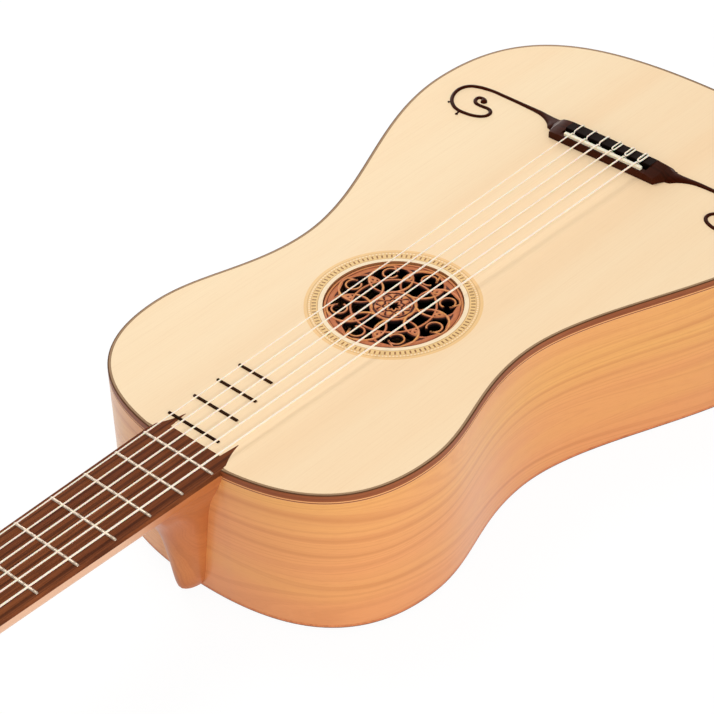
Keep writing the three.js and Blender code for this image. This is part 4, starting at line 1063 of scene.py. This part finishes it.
def makeFrets():
    low, steps, margin = fretLook["low"], fretLook["steps"], 2 * fretLook["margin"]
    ends = [(x - fretLook["nominal"] / 2, share) for x, share in fretLook["ends"]]
    rings = []
    for x, share in ends + mirrored(ends[::-1]):
        crown, height = fretLook["width"] / 2 * (0.5 + share / 2), fretLook["height"] * share
        arch = [pi * step / steps for step in range(steps + 1)]
        arch = [(x, -crown * cos(angle), height * sin(angle) ** 0.8) for angle in arch]
        rings.append([(x, -crown, low)] + arch + [(x, crown, low)])
    piece = meshPiece("frets", skin(rings), [fretMetal], 45)
    grow(piece, {
        "Frets": guitar["frets"], "String": nutY * mm, "Joint": bodyTop * mm, "Height": top * mm,
        "Narrow": (board["nutWidth"] - margin) * mm, "Wide": (board["bodyWidth"] - margin) * mm,
        "Nominal": fretLook["nominal"] * mm}, fretRow)
    settle(piece, [f"fret_{number}" for number in range(1, guitar["frets"] + 1)])


bodyFretWood = woodFinish("body_fret_wood", bridgeLook, (58, 34, 16), (44, 25, 11), (28, 16, 7),
                          rough=0.5, coat=0.0, specular=0.03)
makeNeck()
makeBoard()
makeFrets()
for number in range(11, 15):
    softCopy(f"body_fret_{number}_strip", f"body_fret_{number}", bodyFretWood, 0.25)
softCopy("nut_bone", "nut", bone, 0.4)
print("neck built")


# Bridge, saddle and scrolls

bridge = {
    # Forward of the origin, and up from the soundboard
    "trough": [(0.4, 0.0), (0.4, 4.75), (0.2, 5.0), (-1.2, 5.0), (-3.8, 5.0), (-3.8, 2.2), (-7.45, 2.2),
               (-7.5, 6.5), (-7.8, 6.8), (-15.2, 6.8), (-15.5, 6.5), (-15.55, 2.7), (-15.9, 2.5), (-20.6, 1.9),
               (-21.0, 1.5), (-21.0, 0.0)],
    # The corners that change past the trough's ends
    "filled": {3: (-1.2, 5.16), 4: (-3.8, 5.47), 5: (-3.9, 5.48), 6: (-7.4, 5.9), 7: (-7.5, 5.91), 8: (-7.8, 5.95)},
    "troughEnd": 33.0, "tieFrom": -5.0, "foot": 0.012,
    "blockEnd": 40.6, "lean": 0.14,      # how much lower the block is at its end
    "stations": (35.0, 37.0, 38.5, 39.8, 40.6, 40.9, 41.5, 42.2, 43.0, 43.8, 44.6, 45.3),
    "at": (33.0, 40.6, 42.5, 44.0, 45.3), "front": (0.4, 0.4, -2.9, -5.4, -7.3),
    "back": (-21.0, -20.4, -19.9, -19.4, -18.9), "height": (6.2, 5.1, 3.9, 3.1, 2.65),
}


def makeBridge():
    frontAt, backAt, heightAt = (smoothTable(bridge["at"], bridge[key]) for key in ("front", "back", "height"))
    trough, start, end = bridge["trough"], bridge["troughEnd"], bridge["blockEnd"]
    filled = [bridge["filled"].get(number, corner) for number, corner in enumerate(trough)]
    shares = [(trough[0][0] - y) / (trough[0][0] - trough[-1][0]) for y, _ in filled]
    shares[1], shares[-2] = bridge["foot"], 1 - bridge["foot"]

    def endRing(x):
        # The block sinks a little to its end, then a bevel runs down into the scroll's round section
        low = 1 - bridge["lean"] * min(1.0, (x - start) / (end - start)) ** 2
        blend = max(0.0, (x - end) / (bridge["at"][-1] - end))
        front, back, height = frontAt(x), backAt(x), heightAt(x)
        ring = []
        for (y, z), share in zip(filled, shares):
            crest = height * sqrt(max(0, 1 - abs(2 * share - 1) ** (6 - 4 * blend)))
            block = z * low
            if blend:
                block = min(block, crest + (block - crest) * (1 - blend) ** 1.5)
            ring.append((front + (back - front) * share, block + (crest - block) * blend))
        return ring

    half = [(start, trough), (start, filled)] + [(x, endRing(x)) for x in bridge["stations"]]
    half = [[(x, y, top + z) for y, z in ring] for x, ring in half]
    shape = skin([mirrored(ring) for ring in half[::-1]] + half)
    for number, face in enumerate(shape["faces"]):
        middle = sum((Vector(shape["points"][corner]) for corner in face), Vector()) / len(face)
        shape["marks"][number] = 1 if middle.y < bridge["tieFrom"] and abs(middle.x) < start else 0
    settle(meshPiece("bridge_block", shape, [bridgeWood, tieWood], 28), ["bridge"])


scroll = {
    "reach": 0.2665 * body["lowerBout"], "rise": 31.6, "base": (45.3, -18.0),
    "height": 1.15, "halfWidth": 1.25, "steps": 9, "sunk": 0.02,
    "section": [(-1.0, -0.02), (-0.96, 0.35), (-0.72, 0.72), (-0.35, 0.95), (0.0, 1.0), (0.35, 0.95),
                (0.72, 0.72), (0.96, 0.35), (1.0, -0.02)],
    "ball": (0.707, 0.426, 2.2), "ballSides": 20, "ballSteps": 8,
    # Share of the line, length and lean
    "spurs": ((0.426, 2.9, -35), (0.497, 5.2, 13)), "spurRadius": 1.35, "spurSteps": 8,
    # Shares of the reach, the rise and the half width
    "line": [
        (0, .155, 5.3), (.064, .1, 3.3), (.146, .045, 2.0), (.24, .008, 1.45), (.42, 0, 1.12), (.643, 0, 1),
        (.752, .005, 1), (.851, .045, 1.1), (.91, .092, 1.1), (.949, .143, 1.1), (.982, .234, 1.1), (1, .368, 1.1),
        (.997, .509, 1.05), (.978, .644, 1), (.943, .779, 1), (.895, .887, 1), (.834, .968, 1), (.771, .997, 1),
        (.717, .991, 1), (.659, .971, 1), (.609, .928, 1), (.573, .872, 1), (.548, .784, 1), (.55, .676, 1),
        (.575, .597, 1), (.612, .569, 1), (.651, .578, 1), (.695, .584, 1), (.737, .574, 1), (.769, .524, 1),
        (.786, .449, 1), (.78, .375, 1), (.751, .351, 1), (.725, .357, 1), (.707, .38, 1)],
}


def scrollSpot(along, across):
    return scroll["base"][0] + along * scroll["reach"], scroll["base"][1] + across * scroll["rise"]


def stemShape(line):
    rings = []
    for number, point in enumerate(line):
        way = line[min(number + 1, len(line) - 1)] - line[max(number - 1, 0)]
        across = Vector((-way.y, way.x)).normalized() if number else Vector((0, 1))
        height = scroll["height"] * sqrt(point.z / scroll["halfWidth"])
        rings.append([(point.x + across.x * share * point.z, point.y + across.y * share * point.z,
                       top + rise * height) for share, rise in scroll["section"]])
    return skin(rings)


def ballShape():
    along, across, radius = scroll["ball"]
    rings = []
    for angle in (pi / 2 * step / scroll["ballSteps"] for step in range(scroll["ballSteps"] + 1)):
        size, height = max(radius * cos(angle), 0.02), top - scroll["sunk"] + radius * 0.95 * sin(angle)
        rings.append([(x, y, height) for x, y in circle(size, scroll["ballSides"], scrollSpot(along, across))])
    return skin(rings)


def spurShape(foot, length, lean):
    # A thorn that swells at its foot and near its rounded end
    way = Vector((-sin(radians(lean)), cos(radians(lean))))
    steps, rings = scroll["spurSteps"], []
    for share in (step / steps for step in range(steps + 1)):
        swell = 0.72 + 0.28 * cos(2 * pi * share) if share < 0.85 else 0.9
        size = scroll["spurRadius"] * swell * min(1, 0.05 + sqrt(max(0, 1 - share) * 5))
        middle = foot.xy + way * length * share
        rings.append([(middle.x - way.y * size * cos(angle), middle.y + way.x * size * cos(angle),
                       top - scroll["sunk"] + max(0, 0.9 * size * sin(angle)))
                      for angle in (pi * step / steps for step in range(steps + 1))])
    return skin(rings)


def makeScroll(name, side):
    line = curve([(*scrollSpot(along, across), width * scroll["halfWidth"])
                  for along, across, width in scroll["line"]], scroll["steps"])
    spurs = [spurShape(line[round(share * (len(line) - 1))], length, lean)
             for share, length, lean in scroll["spurs"]]
    shape = combine(stemShape(line), ballShape(), *spurs)
    shape["points"] = [(side * x, y, z) for x, y, z in shape["points"]]
    settle(meshPiece(name + "_scroll", shape, [scrollWood], 60), [name])


bridgeWood = woodFinish("bridge_wood", bridgeLook)
tieWood = woodFinish("tie_block_top", bridgeLook, (26, 16, 13), (18, 11, 9), (10, 7, 6), coat=0.03, specular=0.04)
scrollWood = woodFinish("scroll_wood", bridgeLook, (59, 17, 4), (42, 10, 2), (24, 6, 2),
                        rough=0.42, coat=0.0, specular=0.08)
makeBridge()
softCopy("saddle_bone", "saddle", bone, 0.35)
makeScroll("moustache_treble", 1)
makeScroll("moustache_bass", -1)
print("bridge built")


# Head, pegs, strings and windings

pegs = {
    "x": 20.0, "first": 45.0, "step": 44.0, "tip": 14.3, "tipRadius": 3.1, "taper": 0.03, "sides": 28,
    "through": -12.0, "collar": (-13.5, -17.5, 6.0), "stem": (-22.5, 3.2),      # heights, then a radius
    "thumb": (3.4, 10.5, 11.0, -31.3), "thumbSteps": 28,      # half thickness, half width, half height, middle
}
stringSet = {
    "diameters": (0.8, 0.9, 1.0, 0.9, 1.0, 1.1), "atSaddle": 50.2, "atNut": 37.0, "sides": 12,
    "bend": 0.9, "bendSteps": 5,
    "tie": (-7.25, -15.5), "tieTop": 6.8, "tieHole": 3.6, "loop": 0.625,      # the tie block's front and back
    "saddle": (-3.7, -1.3), "saddleTop": 7.0, "nutTop": 2.0, "nutBack": 2.5, "gap": 0.25,
    "coilFrom": 3.7, "turns": 3.0, "turnGap": 0.5, "play": 0.3, "coilSteps": 32, "coilSides": 10,
}
toHead = Matrix.Translation((0, headY, boardUnder)) @ Matrix.Rotation(-headTilt, 4, "X")


def pegPlace(number):
    side = 1 if number < 3 else -1
    return Vector((side * pegs["x"], pegs["first"] + pegs["step"] * min(number, 5 - number), 0)), side


def pegRadius(z):
    return pegs["tipRadius"] + pegs["taper"] * (pegs["tip"] - z)


def coilRadius(number):
    return pegRadius(stringSet["coilFrom"]) + stringSet["play"] + stringSet["diameters"][number] / 2


def makePeg(number):
    place, _ = pegPlace(number)
    tip, through, sides = pegs["tip"], pegs["through"], pegs["sides"]
    collarTop, collarEnd, collarRadius = pegs["collar"]
    stemEnd, stemRadius = pegs["stem"]
    thick, wide, tall, centre = pegs["thumb"]
    lathe = [(0.05, tip), (1.4, tip - 0.1), (2.5, tip - 0.5), (pegs["tipRadius"], tip - 1.3),
             (pegRadius(through), through), (pegRadius(through), collarTop - 0.01)]
    middle, half = (collarTop + collarEnd) / 2, (collarTop - collarEnd) / 2
    for angle in (pi * step / 8 for step in range(9)):
        lathe.append((collarRadius - 1.6 + 1.6 * sin(angle) ** 0.7, middle + half * cos(angle)))
    root = stemRadius - 0.5
    lathe += [(stemRadius + 0.5, collarEnd - 0.1), (stemRadius - 0.3, collarEnd - 1.8), (root, stemEnd)]
    rings = [[(x, y, z) for x, y in circle(radius, sides)] for radius, z in lathe]
    # The thumb grows out of the stem as a flat heart, hollowed a little on both faces
    for step in range(1, pegs["thumbSteps"] + 1):
        share = step / pegs["thumbSteps"]
        z = stemEnd + (centre - tall - stemEnd) * share
        swell = sin(pi * min(1, share * 0.98 + 0.02)) ** 0.55
        halfWidth = min(wide, root * (1 - share) + wide * swell * (1 - 0.06 * share))
        halfThick = root * (1 - share) ** 3 + thick * 0.8 * sin(pi * min(1, 0.25 + 0.75 * share)) ** 0.5
        if step == pegs["thumbSteps"]:
            halfWidth, halfThick = 0.05, 0.05
        ring = []
        for angle in angles(sides):
            hollow = 1 - 0.28 * exp(-(cos(angle) / 0.45) ** 2) * sin(pi * share)
            ring.append((halfThick * sin(angle) * hollow, halfWidth * cos(angle), z))
        rings.append(ring)
    shape = skin(rings)
    shape["points"] = [toHead @ (Vector(point) + place) for point in shape["points"]]
    piece = meshPiece(f"peg_{number + 1}_turned", shape, [pegWood], 50)
    settle(piece, [f"peg_{number + 1}"], f"peg_{number + 1}_turner")


def coil(tree, inputs):
    turns = tree.node("GeometryNodeCurveSpiral", {}, {
        "Resolution": inputs["Steps"], "Rotations": inputs["Turns"], "Start Radius": inputs["Radius"],
        "End Radius": inputs["Radius"], "Height": inputs["Rise"], "Reverse": False})
    section = tree.node("GeometryNodeCurvePrimitiveCircle", {}, {
        "Resolution": inputs["Sides"], "Radius": inputs["Thick"]})
    return tree.node("GeometryNodeCurveToMesh", {}, {
        "Curve": turns, "Profile Curve": section, "Fill Caps": True})


def makeWinding(number):
    place, side = pegPlace(number)
    diameter, turns = stringSet["diameters"][number], stringSet["turns"]
    seed = {"points": [(0, 0, 0), (1, 0, 0), (0, 1, 0)], "faces": [(0, 1, 2)]}      # the coil takes its place
    piece = meshPiece(f"winding_{number + 1}_coil", seed, [windingGut])
    grow(piece, {
        "Steps": stringSet["coilSteps"], "Turns": turns, "Radius": coilRadius(number) * mm,
        "Rise": turns * (diameter + stringSet["turnGap"]) * mm, "Sides": stringSet["coilSides"],
        "Thick": diameter / 2 * mm}, coil)
    shift = Matrix.Translation((place + Vector((0, 0, stringSet["coilFrom"] + diameter / 2))) * mm)
    head = Matrix.Translation(toHead.translation * mm) @ toHead.to_3x3().to_4x4()
    piece.data.transform(head @ shift @ Matrix.Scale(-side, 4, (1, 0, 0)))
    turnOut(piece.data)
    settle(piece, [f"winding_{number + 1}"], f"peg_{number + 1}_turner")


def makeString(number):
    # From its loop round the tie block, over the saddle and through the nut, to its coil
    r = stringSet["diameters"][number] / 2
    share = 0.5 - number / 5
    x, nutX = stringSet["atSaddle"] * share, stringSet["atNut"] * share
    front, back = stringSet["tie"]
    saddleBack, saddleFront = stringSet["saddle"]
    loop, gap, bend = stringSet["loop"], stringSet["gap"], r + 0.45
    over, hole = top + stringSet["tieTop"] + r + gap, top + stringSet["tieHole"]
    crest, slot = top + stringSet["saddleTop"] + r + gap, top + stringSet["nutTop"] + r
    if share < 0:
        loopX = x + 2 * loop
        path = [(x - 2 * loop, -14.6, over), (x - 2 * loop, front, over), (x - loop, front + bend, over - 0.45),
                (x + loop, front + bend, over - 0.45)]
    else:
        loopX = x + loop
        path = [(loopX, front + bend, over - 1.8), (loopX, front - 0.125 + bend, over - 0.9)]
    path += [(loopX, front, over), (loopX, back, over), (loopX, back - bend, over - 0.9),
             (x, back - bend, hole + 0.9), (x, back + gap, hole), (x, front, hole),
             (x, saddleBack - r - gap, crest - (r + gap) / 2), (x, saddleBack + r, crest), (x, saddleFront, crest),
             (nutX, nutY, slot), (nutX, nutY + stringSet["nutBack"], slot)]
    place, side = pegPlace(number)
    radius, play = coilRadius(number), stringSet["play"]
    reach = sqrt((radius + r + play) ** 2 - radius ** 2) + play
    path.append(toHead @ Vector((place.x - side * radius, place.y - reach, stringSet["coilFrom"] + r)))
    path = softCorners(path, stringSet["bend"], stringSet["bendSteps"])
    shape = skin(tubeRings(path, r, stringSet["sides"]))
    piece = meshPiece(f"string_{number + 1}_gut", shape, [stringGut], 60, mapped=True)
    settle(piece, [f"string_{number + 1}"])


pegWood = woodFinish("peg_wood", bridgeLook, stretch=(1.0, 1.0, 0.05), across=0, rings=300.0)
softCopy("head_plate", "headstock", neckWood, 1.2)
softCopy("head_face", "head_veneer", boardWood, 0.4)
for number in range(6):
    makePeg(number)
    makeString(number)
    makeWinding(number)
print("head and strings built")


# The wood inside the box keeps its CAD shapes
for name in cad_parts:
    if name.startswith(("neck_block", "tail_block", "top_lining", "back_lining", "top_bar", "back_bar", "back_strip")):
        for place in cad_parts[name].material_slots:
            place.material = insideSpruce.material


# Studio

studio = {
    "floorSize": 6000.0, "floorHeight": -0.2, "floorPaint": (238, 238, 238),
    "floorGlow": 1.04, "floorShine": 0.9, "world": 0.55,
    "lamps": {      # place, the spot that it shines at, size and watts
        "key": ((800, 50, 1600), (0, 150, 60), 800, 9.6),
        "fill": ((-1350, 850, 560), (0, 150, 40), 1000, 11),
        "back": ((1350, -850, 300), (0, 60, 90), 760, 8),
    },
}


def seenRays(tree):
    # 1 where the camera sees it, also in metal or through glass
    camera, glossy, through = (tree.node("ShaderNodeLightPath", output=name) for name in (
        "Is Camera Ray", "Is Glossy Ray", "Is Transmission Ray"))
    return camera.larger(glossy.larger(through))


def makeFloor():
    half, z = studio["floorSize"] / 2, studio["floorHeight"]
    corners = ((-half, -half, z), (half, -half, z), (half, half, z), (-half, half, z))
    mesh = bpy.data.meshes.new("floor")
    mesh.from_pydata([Vector(corner) * mm for corner in corners], [], [(0, 1, 2, 3)])
    material = bpy.data.materials.new("studio_floor")
    material.use_nodes = True
    tree = Tree(material.node_tree)
    tree.nodes.clear()
    dull = tree.node("ShaderNodeBsdfDiffuse", {}, {"Color": paint(*studio["floorPaint"])})
    glow = tree.node("ShaderNodeEmission", {}, {"Color": (1, 1, 1, 1), "Strength": studio["floorGlow"]})
    mixed = tree.node("ShaderNodeMixShader", {}, [seenRays(tree) * studio["floorShine"], dull, glow])
    tree.node("ShaderNodeOutputMaterial", {}, {"Surface": mixed})
    mesh.materials.append(material)
    floor = addObject("floor", mesh)


def lightStudio():
    world = bpy.data.worlds.new("studio")
    world.use_nodes = True
    bpy.context.scene.world = world
    tree = Tree(world.node_tree)
    back = tree.nodes["Background"]
    tree.feed(back.inputs["Color"], (1, 1, 1, 1))
    tree.feed(back.inputs["Strength"], seenRays(tree) * (1 - studio["world"]) + studio["world"])
    for name, (place, aim, size, watts) in studio["lamps"].items():
        light = bpy.data.lights.new(name, "AREA")
        light.shape = "DISK"
        light.size = size * mm
        light.energy = watts
        spot = Vector(place) * mm
        turn = (Vector(aim) * mm - spot).to_track_quat("-Z", "Y").to_matrix().to_4x4()
        addObject(name, light).matrix_world = Matrix.Translation(spot) @ turn


makeFloor()
lightStudio()
bpy.context.scene.view_settings.view_transform = "Standard"
print("studio lit")
